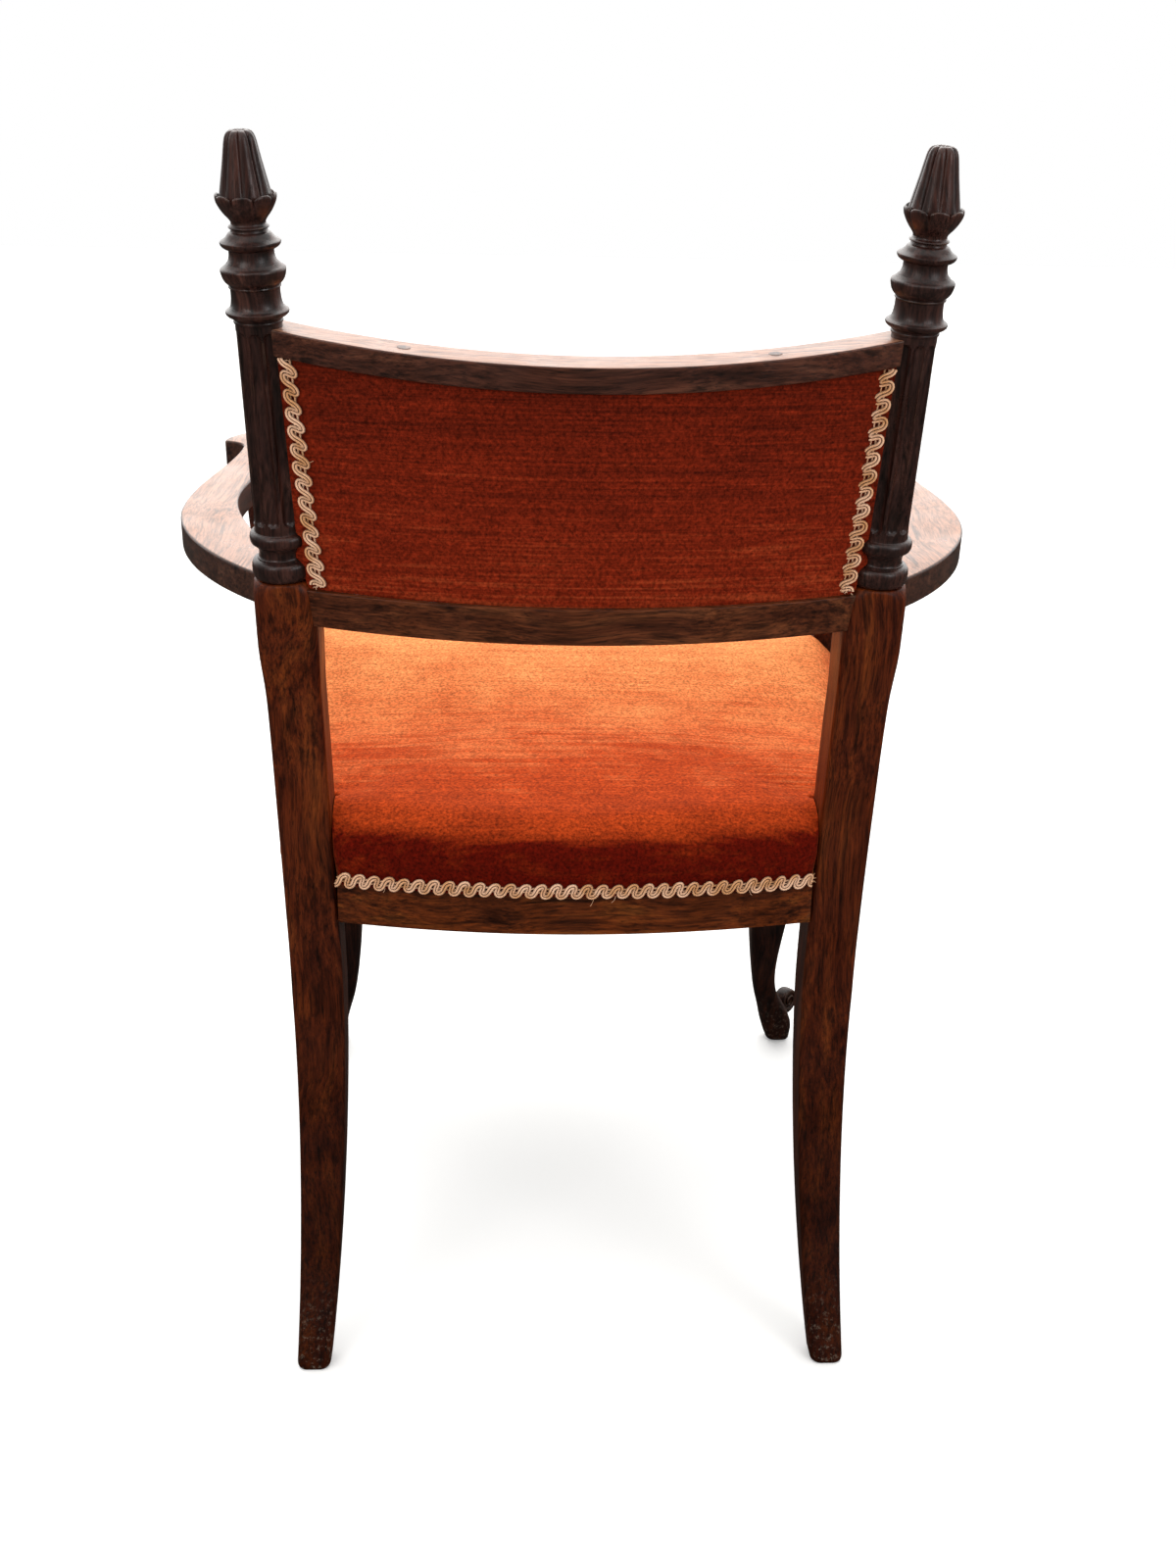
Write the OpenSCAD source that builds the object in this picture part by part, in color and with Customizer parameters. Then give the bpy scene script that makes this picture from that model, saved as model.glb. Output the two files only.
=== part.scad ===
// Open-arm rosewood chair with an upholstered seat and back.
// Millimetres, +Z up, front towards -Y, origin on the floor under the middle of the plan.
// The left side is the sitter's left, towards +X.

/* [Overall places] */
// Rear face of the back rail's ends, from the middle of the plan
back_line = 209; // [190:1:230]
// From the back line to the front of the front leg blocks
seat_depth = 500; // [460:1:540]
// Floor to the underside of the seat rails
rail_bottom = 363; // [340:1:390]
// Floor to the joint line under the post's rings
joint_height = 649; // [630:1:670]

/* [Back posts] */
// Half the distance between the feet's centres
foot_x = 214; // [205:1:225]
// Half the distance between the posts at the knee of the sabre curve
knee_x = 206; // [200:1:212]
// Half the distance between the posts at the seat
seat_post_x = 212.5; // [206:0.5:220]
// Half the distance between the posts at the joint line
joint_x = 222; // [216:0.5:228]
// Outward lean of the turned part, in degrees
turned_lean = 2; // [1:0.1:3]
// Backward rake of the turned part, in degrees
rake = 9.6; // [7:0.1:12]
// How far the foot stands behind the back line
foot_splay = 88; // [60:1:105]
// Post centre in front of the back line at the seat
post_setback = 18; // [15:0.5:22]
// Post width and depth at the seat
post_w = 42; // [38:0.5:46]
// Foot width and depth on the floor
foot_w = 27; // [24:0.5:30]

/* [Turned rings] */
// Radius of the lower ring
lower_ring_r = 23.2; // [21:0.1:24]
// Radius of the hollow between the two lower rings
hollow_r = 17.2; // [15:0.1:19]
// Radius at the foot of the fluted column
column_foot_r = 18.6; // [17:0.1:20]
// Radius at the head of the fluted column
column_head_r = 16.2; // [15:0.1:17]
// Joint line to the middle of the collar
collar_at = 194; // [180:1:210]
// Radius of the collar
collar_r = 21.8; // [20:0.1:24]
// Radius of the vase-shaped neck above the collar
neck_r = 17.2; // [15:0.1:19]
// Radius of the big ring
big_ring_r = 22.4; // [20:0.1:24]
// Radius of the small ring under the finial
small_ring_r = 20.6; // [18:0.1:22]
// Number of flutes round the column
flutes = 10; // [8:1:14]
// Width of one flute
flute_w = 7.6; // [5:0.1:8.2]
// Depth of one flute
flute_deep = 2.2; // [1:0.1:2.8]
// Clear column below and above the flutes
flute_margin = 6; // [3:0.5:12]

/* [Finials] */
// Radius of the finial's seat on the post
finial_seat_r = 13.6; // [12:0.1:15]
// Greatest radius over the petals
petal_r = 20.4; // [18:0.1:22]
// Height of the finial above the post
finial_tall = 62; // [56:0.5:70]
// Number of petals and of ribs
petals = 8; // [6:1:10]
// Diameter of the finial's spigot
spigot_d = 14; // [10:0.5:16]
// Length of the finial's spigot
spigot_long = 22; // [15:1:26]

/* [Back frame] */
// How far the rails bow to the rear in the middle
back_bow = 38; // [25:1:50]
// How far the top rail dips in the middle
top_dip = 13; // [6:0.5:18]
// Height of the top rail
top_rail_tall = 18.5; // [16:0.5:24]
// Depth of the top rail
top_rail_deep = 31; // [26:0.5:33]
// Collar centre down to the top of the top rail
top_rail_drop = 9; // [8:0.1:12]
// Height of the lower back rail
lower_rail_tall = 28.5; // [24:0.5:34]
// Depth of the lower back rail
lower_rail_deep = 22; // [18:0.5:26]
// Joint line down to the top of the lower back rail
lower_rail_drop = 5; // [3:0.5:10]
// Width of the upright stiles beside the columns
stile_w = 22; // [18:0.5:28]
// Thickness of the upright stiles
stile_thick = 14; // [11:0.5:16]
// Diameter of the pellets in the top rail
pellet_d = 10; // [8:0.5:12]
// Pellet's distance from the middle
pellet_x = 128; // [90:1:160]

/* [Back upholstery] */
// Outside back set in from the rear faces of the rails
back_recess = 4; // [2:0.5:6]
// Thickness of each velvet cover
velvet = 2; // [1.5:0.1:3]
// Thickness of the back webbing
web_thick = 1.6; // [1.2:0.1:2.2]
// Stuffing's edge thickness in the back
back_pad_edge = 10; // [6:0.5:16]
// Crown of the back pad above its edge
back_pad_crown = 15; // [8:0.5:22]

/* [Seat frame] */
// Height of the seat rails
rail_tall = 62; // [54:1:70]
// Thickness of the seat rails
rail_thick = 26; // [22:0.5:30]
// Bow of the back rail to the rear
rail_bow = 30; // [15:1:38]
// Bow of the front rail to the front
front_bow = 14; // [6:1:24]
// Half the distance between the front legs' centres
leg_x = 267; // [262:1:280]
// Width of the front leg's block
block_w = 46; // [42:0.5:50]
// Length of the tenons
tenon_long = 20; // [14:1:24]
// Thickness of the tenons
tenon_thick = 10; // [8:0.5:13]
// Gap round tenons, dowels and spigots
joint_gap = 0.2; // [0.1:0.05:0.4]

/* [Front legs] */
// Ankle width
ankle_w = 27; // [24:0.5:31]
// How far the ankle stands in from the block's centre
ankle_in = 35; // [22:1:40]
// How far the toe stands out from the ankle
toe_out = 26; // [18:1:32]
// Radius of the scroll on the toe
scroll_r = 12.5; // [9:0.5:14]
// Width of the scroll, across the toe
scroll_w = 14; // [10:0.5:22]

/* [Arms] */
// Thickness of the arm boards
arm_thick = 25; // [22:0.5:28]
// Rise of the arms towards the front, in degrees
arm_rise = 5.7; // [3:0.1:8]
// Outermost reach of the arm from the middle
arm_reach = 328; // [315:1:340]
// Width of the arm at its widest bow
arm_w = 42; // [38:0.5:50]
// Distance from the back line to the tip of the hand rest
arm_long = 428; // [400:1:440]
// Distance from the joint line to the arm's widest bow
arm_bow_at = 183; // [165:1:200]
// Distance from the joint line to the narrow waist behind the hand rest
arm_waist_at = 373; // [350:1:385]
// Width of the arm supports
support_w = 27; // [24:0.5:30]
// Depth of the arm supports
support_d = 32; // [28:0.5:36]

/* [Seat upholstery] */
// Thickness of the seat webbing
seat_web_thick = 2; // [1.5:0.1:2.5]
// Width of the seat webbing
web_w = 50; // [45:1:56]
// Height of the stuffing at its middle
seat_crown = 42; // [32:1:52]
// Extra height of the stuffing along the front
front_build = 30; // [0:1:40]
// How far the cover comes down over the rails
cover_lap = 28; // [22:0.5:32]
// Width of the gimp braid
gimp_w = 12.5; // [10:0.5:15]
// Thickness of the gimp braid
gimp_thick = 2.2; // [1.5:0.1:3]

/* [Hidden] */

rosewood = [0.36, 0.18, 0.12];
dark_rosewood = [0.20, 0.11, 0.09];
beech = [0.76, 0.62, 0.44];
velvet_colour = [0.72, 0.27, 0.12];
jute = [0.66, 0.55, 0.38];
braid = [0.80, 0.60, 0.38];
steel = [0.62, 0.62, 0.64];

far = 400;
curve_steps = 12;
joint_y = back_line + 8;
rail_top = rail_bottom + rail_tall;
front_y = back_line - seat_depth;
leg_y = front_y + block_w / 2;
post_y = back_line - post_setback;

function bez(p, t) = pow(1 - t, 3) * p[0] + 3 * t * pow(1 - t, 2) * p[1]
    + 3 * t * t * (1 - t) * p[2] + t * t * t * p[3];
function curve(p, n = curve_steps) = [for (i = [0:n]) bez(p, i / n)];
function back_to_front(list) = [for (i = [len(list) - 1:-1:0]) list[i]];
function ease(t) = t * t * (3 - 2 * t);
function clamp01(t) = max(0, min(1, t));

module mirrored(side) {
    if (side > 0) children();
    else mirror([1, 0, 0]) children();
}

// The raked frame of the back: origin between the posts at the joint line,
// X across, Y to the rear and Z up along the raked posts.
module back_frame() translate([0, joint_y, joint_height]) rotate([-rake, 0, 0]) children();

// The left post's turning axis inside the back frame
module post_axis() back_frame() translate([joint_x, 0, 0]) rotate([0, turned_lean, 0]) children();

// Half width of the plain post at height z, tapering to the foot
taper_top = 300;
round_r = post_w / 2 + 1.4;
shoulder_r = post_w / 2 + 6;
shoulder_long = 32;
function post_half(z) = foot_w / 2 + (post_w - foot_w) / 2 * pow(clamp01(z / taper_top), 0.8)
    + 2 * ease(clamp01((z - joint_height + 100) / 60));

post_bottom_x = curve([[foot_x, 0], [knee_x, 110], [knee_x, 240], [seat_post_x, rail_bottom]]);
post_top_x = curve([[seat_post_x, rail_bottom], [seat_post_x + 4.3, rail_bottom + 95],
    [joint_x - 3.4, joint_height - 95], [joint_x + 1, joint_height + 28]]);
post_mid_x = concat(post_bottom_x, [for (i = [1:curve_steps]) post_top_x[i]]);
sabre_top = rail_bottom + 37;
post_bottom_y = curve([[back_line + foot_splay, 0], [back_line + foot_splay - 64, 130],
    [post_y, 270], [post_y, sabre_top]]);
post_top_y = curve([[post_y, sabre_top], [post_y, sabre_top + 90],
    [joint_y - 85 * tan(rake), joint_height - 85], [joint_y + 28 * tan(rake), joint_height + 28]]);
post_mid_y = concat(post_bottom_y, [for (i = [1:curve_steps]) post_top_y[i]]);

function outline_round(mid, grow) = concat(
    [for (p = mid) [p[0] + post_half(p[1]) + grow, p[1]]],
    back_to_front([for (p = mid) [p[0] - post_half(p[1]) - grow, p[1]]]));

// The plain sawn part of the left post, from the foot to the joint line
module plain_post(grow = 0) {
    intersection() {
        rotate([90, 0, 0]) translate([0, 0, -far]) linear_extrude(2 * far)
            polygon(outline_round(post_mid_x, grow));
        rotate([90, 0, 90]) linear_extrude(far) polygon(outline_round(post_mid_y, grow));
        post_axis() rotate_extrude($fn = 64) polygon([[0, 0], [round_r + grow, 0], [round_r + grow, -6],
            [shoulder_r + grow, -10], [shoulder_r + 2.6 + grow, -shoulder_long - 10],
            [post_w * 0.78 + grow, -shoulder_long - 58],
            [far, -shoulder_long - 59], [far, -2 * far], [0, -2 * far]]);
    }
}

// Heights of the turnings above the joint line, along the post
lower_ring_at = 8.3;
hollow_at = 18;
upper_ring_at = 31.5;
column_at = 37;
column_top = collar_at - 7;
neck_at = collar_at + 5;
big_ring_at = collar_at + 28;
waist_at = big_ring_at + 10.6;
small_ring_at = big_ring_at + 18.3;
post_top = small_ring_at + 9;
upper_ring_r = lower_ring_r - 0.4;
waist_r = small_ring_r - 5.2;

function column_r(s) = column_foot_r + (column_head_r - column_foot_r)
    * clamp01((s - column_at) / (column_top - column_at));

// Half outline of a rounded ring from below to above
function bead(r, at, h, bulge) = [for (a = [-80:20:80]) [r - bulge + bulge * cos(a), at + h / 2 * sin(a)]];

turned_side = concat(
    [[lower_ring_r - 1.6, 0]],
    bead(lower_ring_r, lower_ring_at, 12.5, 4.4),
    [[hollow_r + 1.2, hollow_at - 2.4], [hollow_r + 1.2, hollow_at - 0.6], [hollow_r, hollow_at],
     [hollow_r, hollow_at + 3.5], [hollow_r + 1, hollow_at + 7]],
    bead(upper_ring_r, upper_ring_at, 9.6, 4),
    [[column_foot_r, column_at], [column_head_r, column_top],
     [column_head_r + 0.8, column_top + 0.6], [column_head_r + 0.8, column_top + 2],
     [collar_r - 3.4, collar_at - 3.4]],
    bead(collar_r, collar_at, 5.4, 2),
    [[neck_r + 0.4, neck_at], [neck_r - 0.2, neck_at + 4], [neck_r - 0.4, neck_at + 9],
     [neck_r + 0.2, neck_at + 12], [neck_r + 0.9, neck_at + 12.4], [neck_r + 0.9, neck_at + 13.6],
     [neck_r + 2, neck_at + 17]],
    bead(big_ring_r, big_ring_at, 7, 2.6),
    [[waist_r + 1.6, waist_at - 3], [waist_r, waist_at], [waist_r + 0.6, waist_at + 3]],
    bead(small_ring_r, small_ring_at, 5, 2.2),
    [[finial_seat_r + 1.4, small_ring_at + 5], [finial_seat_r, post_top - 0.4], [finial_seat_r, post_top]]);
module turned_post(grow = 0) rotate_extrude($fn = 64) polygon(concat(
    [[0, 0]], [for (p = turned_side) [p[0] + grow, p[1]]], [[0, post_top]]));

// Round-bottomed flutes with round ends, cut along the tapered column
flute_r = (pow(flute_w / 2, 2) + pow(flute_deep, 2)) / (2 * flute_deep);
flute_low = column_at + flute_margin + flute_r / 2;
flute_high = column_top - flute_margin - flute_r / 2;
flute_tilt = atan((column_r(flute_low) - column_r(flute_high)) / (flute_high - flute_low));
module flute_cuts() {
    for (i = [0:flutes - 1]) rotate([0, 0, 360 / flutes * (i + 0.35)])
        translate([column_r(flute_low) - flute_deep + flute_r, 0, flute_low]) rotate([0, -flute_tilt, 0]) {
            cylinder(r = flute_r, h = (flute_high - flute_low) / cos(flute_tilt), $fn = 32);
            sphere(r = flute_r, $fn = 32);
            translate([0, 0, (flute_high - flute_low) / cos(flute_tilt)]) sphere(r = flute_r, $fn = 32);
        }
}

// Tenons into the left post, grown by a gap when they are cut as mortises
tenon_edge = 9;
module rail_tenon_top(grow = 0) back_frame()
    translate([joint_x - tenon_long / 2 - tenon_edge, -tenon_thick / 2 - grow, top_rail_low_end + 3 - grow])
        cube([tenon_long / 2 + tenon_edge + 4 + grow, tenon_thick + 2 * grow, top_rail_tall - 6 + 2 * grow]);
module rail_tenon_lower(grow = 0) back_frame()
    translate([joint_x - post_w / 2 - tenon_edge, -tenon_thick / 2 - grow, lower_rail_low + 4 - grow])
        cube([tenon_edge + tenon_long + grow, tenon_thick + 2 * grow, lower_rail_tall - 8 + 2 * grow]);
module rail_tenon_back(grow = 0)
    translate([seat_post_x - post_w / 2 - tenon_edge, back_line - rail_thick / 2 - tenon_thick / 2 - grow,
        rail_bottom + tenon_edge - grow])
        cube([tenon_edge + tenon_long + grow, tenon_thick + 2 * grow, rail_tall - 2 * tenon_edge + 2 * grow]);

// Pin holes: the spigot's bore in the post top and the arm's dowel hole
module finial_bore() post_axis() translate([0, 0, post_top - spigot_long - 1])
    cylinder(d = spigot_d + 2 * joint_gap, h = spigot_long + 2, $fn = 48);

dowel_d = 9;
dowel_long = 34;
arm_dowel_in = 8;
module arm_dowel(grow = 0) translate([joint_x, joint_y, joint_height - arm_thick / 2 + 1]) rotate([0, 0, -45])
    translate([arm_dowel_in - grow, 0, 0]) rotate([0, 90, 0])
        cylinder(d = dowel_d + 2 * grow, h = dowel_long + 2 * grow, $fn = 32);

module back_post(side) color(rosewood) mirrored(side) difference() {
    union() {
        plain_post();
        difference() {
            post_axis() turned_post();
            post_axis() flute_cuts();
        }
    }
    finial_bore();
    rail_tenon_top(joint_gap);
    rail_tenon_lower(joint_gap);
    rail_tenon_back(joint_gap);
    side_rail_tenon(joint_gap);
    arm_dowel(joint_gap);
}

// Turned bell with a calyx of round petals and a ribbed head
petal_at = 21;
module finial(side) color(dark_rosewood) mirrored(side) post_axis() translate([0, 0, post_top]) {
    translate([0, 0, -spigot_long]) cylinder(d = spigot_d, h = spigot_long + 1, $fn = 48);
    difference() {
        union() {
            rotate_extrude($fn = 64) polygon([[0, 0], [finial_seat_r, 0], [finial_seat_r, 1.6],
                [finial_seat_r - 1.8, 2.6], [finial_seat_r - 1.6, 5], [finial_seat_r + 1.8, 9.5],
                [petal_r - 3, petal_at - 5], [petal_r - 3.4, petal_at + 4],
                [petal_r - 4.2, petal_at + 10], [petal_r - 6.6, petal_at + 20],
                [petal_r - 8.6, petal_at + 30], [petal_r - 9.6, finial_tall - 4],
                [petal_r - 11, finial_tall - 1.4], [petal_r - 14, finial_tall], [0, finial_tall]]);
            for (i = [0:petals - 1]) rotate([0, 0, 360 / petals * i])
                translate([petal_r - 7, 0, petal_at - 1]) sphere(r = 7, $fn = 32);
        }
        for (i = [0:petals - 1]) rotate([0, 0, 360 / petals * (i + 0.5)])
            translate([petal_r - 1.2, 0, petal_at + 6]) rotate([0, -13, 0])
                cylinder(r = 2.6, h = finial_tall, $fn = 24);
    }
}

// Rails of the back, bent on one arc each
top_rail_high_end = collar_at - top_rail_drop;
top_rail_low_end = top_rail_high_end - top_rail_tall;
lower_rail_low = -lower_rail_drop - lower_rail_tall;
top_rear = 12;
lower_rear = 13.5;
rail_span = joint_x;

// A bent bar: its rear lower edge runs from end to end on one arc whose middle
// lies `bow` to the rear and `dip` down. The section keeps square to the back frame.
module bent_bar(bow, dip, tall, deep) {
    sag = sqrt(bow * bow + dip * dip);
    radius = (rail_span * rail_span + sag * sag) / (2 * sag);
    half_angle = asin(rail_span / radius);
    tilt = atan2(dip, bow);
    rotate([-tilt, 0, 0]) translate([0, sag - radius, 0]) rotate([0, 0, 90 - half_angle - 1])
        rotate_extrude(angle = 2 * half_angle + 2, $fn = 180) translate([radius, 0]) rotate(tilt)
            translate([-deep, 0]) square([deep, tall]);
}

module top_rail_bar() back_frame() translate([0, top_rear, top_rail_low_end])
    bent_bar(back_bow, top_dip, top_rail_tall, top_rail_deep);
module lower_rail_bar() back_frame() translate([0, lower_rear, lower_rail_low])
    bent_bar(back_bow, 0, lower_rail_tall, lower_rail_deep);

// Trims a rail to the inner side of both posts
fit_gap = 0.1;
module between_posts() difference() {
    children();
    for (side = [-1, 1]) mirrored(side) {
        plain_post(fit_gap);
        post_axis() turned_post(fit_gap);
        post_axis() translate([0, -far / 2, -far / 2]) cube([far, far, far]);
    }
}

pellet_deep = 6;
function dip_at(x) = top_dip * (1 - pow(x / rail_span, 2));
function bow_at(x) = back_bow * (1 - pow(x / rail_span, 2));
module pellets(grow = 0) for (side = [-1, 1]) back_frame()
    translate([side * pellet_x, top_rear + bow_at(pellet_x) - top_rail_deep / 2,
        top_rail_high_end - dip_at(pellet_x) - pellet_deep])
        cylinder(d = pellet_d + 2 * grow, h = pellet_deep + 0.4 + 4 * grow, $fn = 32);

module top_rail() color(rosewood) union() {
    difference() {
        between_posts() top_rail_bar();
        pellets(0.05);
    }
    for (side = [-1, 1]) mirrored(side) intersection() {
        rail_tenon_top();
        top_rail_bar();
    }
}
module top_rail_pellets() color(dark_rosewood) pellets();

module lower_back_rail() color(rosewood) union() {
    between_posts() lower_rail_bar();
    for (side = [-1, 1]) mirrored(side) intersection() {
        rail_tenon_lower();
        lower_rail_bar();
    }
}

// Layers of the back, bent to the same bow: rear surface set in from the rails
panel_rear = lower_rear - back_recess;
panel_low = -lower_rail_drop;
bow_steps = 20;
bow_step = 2 * rail_span / bow_steps;
function bow_station(i) = -rail_span + bow_step * i;
function bow_line(x) = let (i = min(bow_steps - 1, floor((x + rail_span) / bow_step)),
    t = (x - bow_station(i)) / bow_step) (1 - t) * bow_at(bow_station(i)) + t * bow_at(bow_station(i + 1));
function bow_band(rear, thick) = concat(
    [for (i = [0:bow_steps]) [bow_station(i), rear + bow_at(bow_station(i))]],
    back_to_front([for (i = [0:bow_steps]) [bow_station(i), rear - thick + bow_at(bow_station(i))]]));

// A bent layer between the rails, trimmed to the rails and the posts
module back_layer(rear, thick) between_posts() difference() {
    back_frame() translate([0, 0, panel_low - 3]) linear_extrude(top_rail_low_end - panel_low + 6)
        polygon(bow_band(rear, thick));
    top_rail_bar();
    lower_rail_bar();
}

stile_rear = panel_rear - velvet;
module back_stile(side) color(beech) mirrored(side) difference() {
    back_layer(stile_rear, stile_thick);
    back_frame() translate([-far, -far, -far])
        cube([far + joint_x - column_foot_r - stile_w, 2 * far, 2 * far]);
}

stile_inner = joint_x - column_foot_r - stile_w;
web_strips_up = 3;
web_strips_cross = 2;
module back_webbing() color(jute) difference() {
    back_layer(stile_rear - stile_thick, web_thick);
    for (side = [-1, 1]) for (i = [0:1]) back_frame() mirrored(side) {
        translate([web_w / 2 + i * (web_w + 16), -far, panel_low + 56 - web_w / 2 - 40])
            cube([16, 2 * far, 40]);
        translate([web_w / 2 + i * (web_w + 16), -far, panel_low + 56 + web_w / 2 - 20])
            cube([16, 2 * far, 20]);
        translate([web_w / 2 + i * (web_w + 16), -far, panel_low + 56 + web_w / 2 + 36])
            cube([16, 2 * far, 60]);
    }
}

hessian_thick = 1;
hessian_front = stile_rear - stile_thick - web_thick - hessian_thick;
module back_hessian() color(jute) back_layer(stile_rear - stile_thick - web_thick, hessian_thick);

// Crowned pad on the front of the back: a grid of points over the bowed panel
pad_up = 10;
pad_half = joint_x - column_foot_r - gimp_w - 1;
pad_low = panel_low + gimp_w + 2;
pad_high = top_rail_low_end - gimp_w - 3;
function pad_roll(t) = pow(1 - pow(abs(t), 6), 0.5);
function pad_top(x) = pad_high - dip_at(x);
pad_first = ceil((rail_span - pad_half) / bow_step);
pad_across = bow_steps - 2 * pad_first + 2;
function pad_x(i) = i == 0 ? -pad_half : i == pad_across ? pad_half : bow_station(pad_first + i - 1);
function pad_s(j) = (1 - cos(180 * j / pad_up)) / 2;
// A point of the pad: layer 0 lies on the hessian, 1 on the pad, 2 on the cover
function pad_point(i, j, layer) = let (x = pad_x(i), s = pad_s(j), z = pad_low + s * (pad_top(x) - pad_low),
    u = x / pad_half, v = 2 * s - 1,
    full = 0.8 + back_pad_edge * pad_roll(u) * pad_roll(v) + back_pad_crown * (1 - u * u) * (1 - v * v))
    [x, bow_line(x) + hessian_front - (layer == 0 ? 0 : full) - (layer == 2 ? velvet : 0), z];
pad_row = pad_up + 1;
pad_layer = (pad_across + 1) * pad_row;
function pad_index(i, j, layer) = layer * pad_layer + i * pad_row + j;
function pad_grid(layer) = [for (i = [0:pad_across]) for (j = [0:pad_up]) pad_point(i, j, layer)];
function quad(a, b, c, d) = [[a, b, c], [a, c, d]];
pad_faces = concat(
    [for (i = [0:pad_across - 1]) for (j = [0:pad_up - 1])
        each quad(pad_index(i, j, 1), pad_index(i, j + 1, 1),
            pad_index(i + 1, j + 1, 1), pad_index(i + 1, j, 1))],
    [for (i = [0:pad_across - 1]) for (j = [0:pad_up - 1])
        each quad(pad_index(i, j, 0), pad_index(i + 1, j, 0),
            pad_index(i + 1, j + 1, 0), pad_index(i, j + 1, 0))],
    [for (i = [0:pad_across - 1]) each concat(
        quad(pad_index(i, 0, 0), pad_index(i, 0, 1), pad_index(i + 1, 0, 1), pad_index(i + 1, 0, 0)),
        quad(pad_index(i, pad_up, 0), pad_index(i + 1, pad_up, 0),
            pad_index(i + 1, pad_up, 1), pad_index(i, pad_up, 1)))],
    [for (j = [0:pad_up - 1]) each concat(
        quad(pad_index(0, j, 0), pad_index(0, j + 1, 0), pad_index(0, j + 1, 1), pad_index(0, j, 1)),
        quad(pad_index(pad_across, j, 0), pad_index(pad_across, j, 1), pad_index(pad_across, j + 1, 1),
            pad_index(pad_across, j + 1, 0)))]);
module back_pad() color(jute) back_frame() polyhedron(concat(pad_grid(0), pad_grid(1)), pad_faces);
module inside_back() color(velvet_colour) back_frame() polyhedron(concat(pad_grid(1), pad_grid(2)), pad_faces);

module outside_back() color(velvet_colour) back_layer(panel_rear, velvet);

// Braid down the sides of the outside back and round the front of the back
back_gimp_w = gimp_w + 1;
module back_gimp(side) color(braid) mirrored(side) difference() {
    back_layer(panel_rear + gimp_thick, gimp_thick);
    post_axis() translate([-2 * far - column_foot_r - back_gimp_w, -far / 2, -far / 2])
        cube([2 * far, far, far]);
}
module front_back_gimp() color(braid) difference() {
    back_layer(hessian_front, gimp_thick);
    back_frame() rotate([90, 0, 0]) translate([0, 0, -far]) linear_extrude(2 * far) polygon(concat(
        [[-pad_half - fit_gap, pad_low - fit_gap], [pad_half + fit_gap, pad_low - fit_gap]],
        [for (i = [pad_across:-1:0]) [pad_x(i) * (1 + fit_gap / pad_half), pad_top(pad_x(i)) + fit_gap]]));
}

// Seat rails
function arc_mid(half, bow, x) = bow * (1 - pow(x / half, 2));
function bow_edge(half, y, bow, n = 16) = [for (i = [0:n]) let (x = -half + 2 * half * i / n)
    [x, y + arc_mid(half, bow, x)]];
inner_post_x = seat_post_x - post_w / 2;

module all_posts() for (side = [-1, 1]) mirrored(side) plain_post(fit_gap);

module seat_rail_back() color(rosewood) union() {
    difference() {
        translate([0, 0, rail_bottom]) linear_extrude(rail_tall) polygon(concat(
            bow_edge(seat_post_x, back_line, rail_bow),
            back_to_front(bow_edge(seat_post_x, back_line - rail_thick, rail_bow))));
        all_posts();
        block_screws(joint_gap);
    }
    for (side = [-1, 1]) mirrored(side) rail_tenon_back();
}

block_inner = leg_x - block_w / 2;
module front_tenon(grow = 0)
    translate([block_inner - tenon_edge, leg_y - tenon_thick / 2 - grow, rail_bottom + tenon_edge - grow])
        cube([tenon_edge + tenon_long + grow, tenon_thick + 2 * grow, rail_tall - 2 * tenon_edge + 2 * grow]);
front_rail_y = front_y;
module seat_rail_front() color(rosewood) union() {
    difference() {
        translate([0, 0, rail_bottom]) linear_extrude(rail_tall) polygon(concat(
            bow_edge(block_inner, front_rail_y, -front_bow),
            back_to_front(bow_edge(block_inner, front_rail_y + rail_thick + 6, -front_bow))));
        block_screws(joint_gap);
    }
    for (side = [-1, 1]) mirrored(side) intersection() {
        front_tenon();
        translate([block_inner - 5, -far, 0]) cube([far, 2 * far, far + far]);
    }
}

// A side rail runs from the post to the front leg, its outer face in line with both
side_back_x = seat_post_x + post_w / 2 - 3;
side_front_x = leg_x + block_w / 2;
side_back_y = back_line;
side_front_y = leg_y + block_w / 2;
side_turn = atan((side_front_x - side_back_x) / (side_back_y - side_front_y));
side_long = sqrt(pow(side_front_x - side_back_x, 2) + pow(side_back_y - side_front_y, 2));

// The left side rail's own frame: X inwards from the outer face, Y towards the front
module side_frame() translate([side_back_x, side_back_y, 0]) rotate([0, 0, 180 + side_turn]) children();
module side_rail_tenon(grow = 0) side_frame()
    translate([rail_thick / 2 - tenon_thick / 2 - grow, post_w / 2 - tenon_edge / 2 - grow,
        rail_bottom + tenon_edge - grow])
        cube([tenon_thick + 2 * grow, post_w / 2 + tenon_edge, rail_tall - 2 * tenon_edge + 2 * grow]);
module side_front_tenon(grow = 0) side_frame()
    translate([rail_thick / 2 - tenon_thick / 2 - grow, side_long - 8, rail_bottom + tenon_edge - grow])
        cube([tenon_thick + 2 * grow, 8 + tenon_long / 2 + grow, rail_tall - 2 * tenon_edge + 2 * grow]);

module leg_block(grow = 0) translate([block_inner - grow, front_y - grow, rail_bottom - 8])
    cube([block_w + 2 * grow, block_w + 2 * grow, rail_tall + 8]);

module seat_rail_side(side) color(rosewood) mirrored(side) union() {
    difference() {
        side_frame() translate([0, 14, rail_bottom]) cube([rail_thick, side_long + rail_thick, rail_tall]);
        plain_post(fit_gap);
        translate([block_inner - far, front_y - far + block_w, 0]) cube([2 * far, far, 2 * far]);
        block_screws(joint_gap);
    }
    side_rail_tenon();
    side_front_tenon();
}

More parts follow.
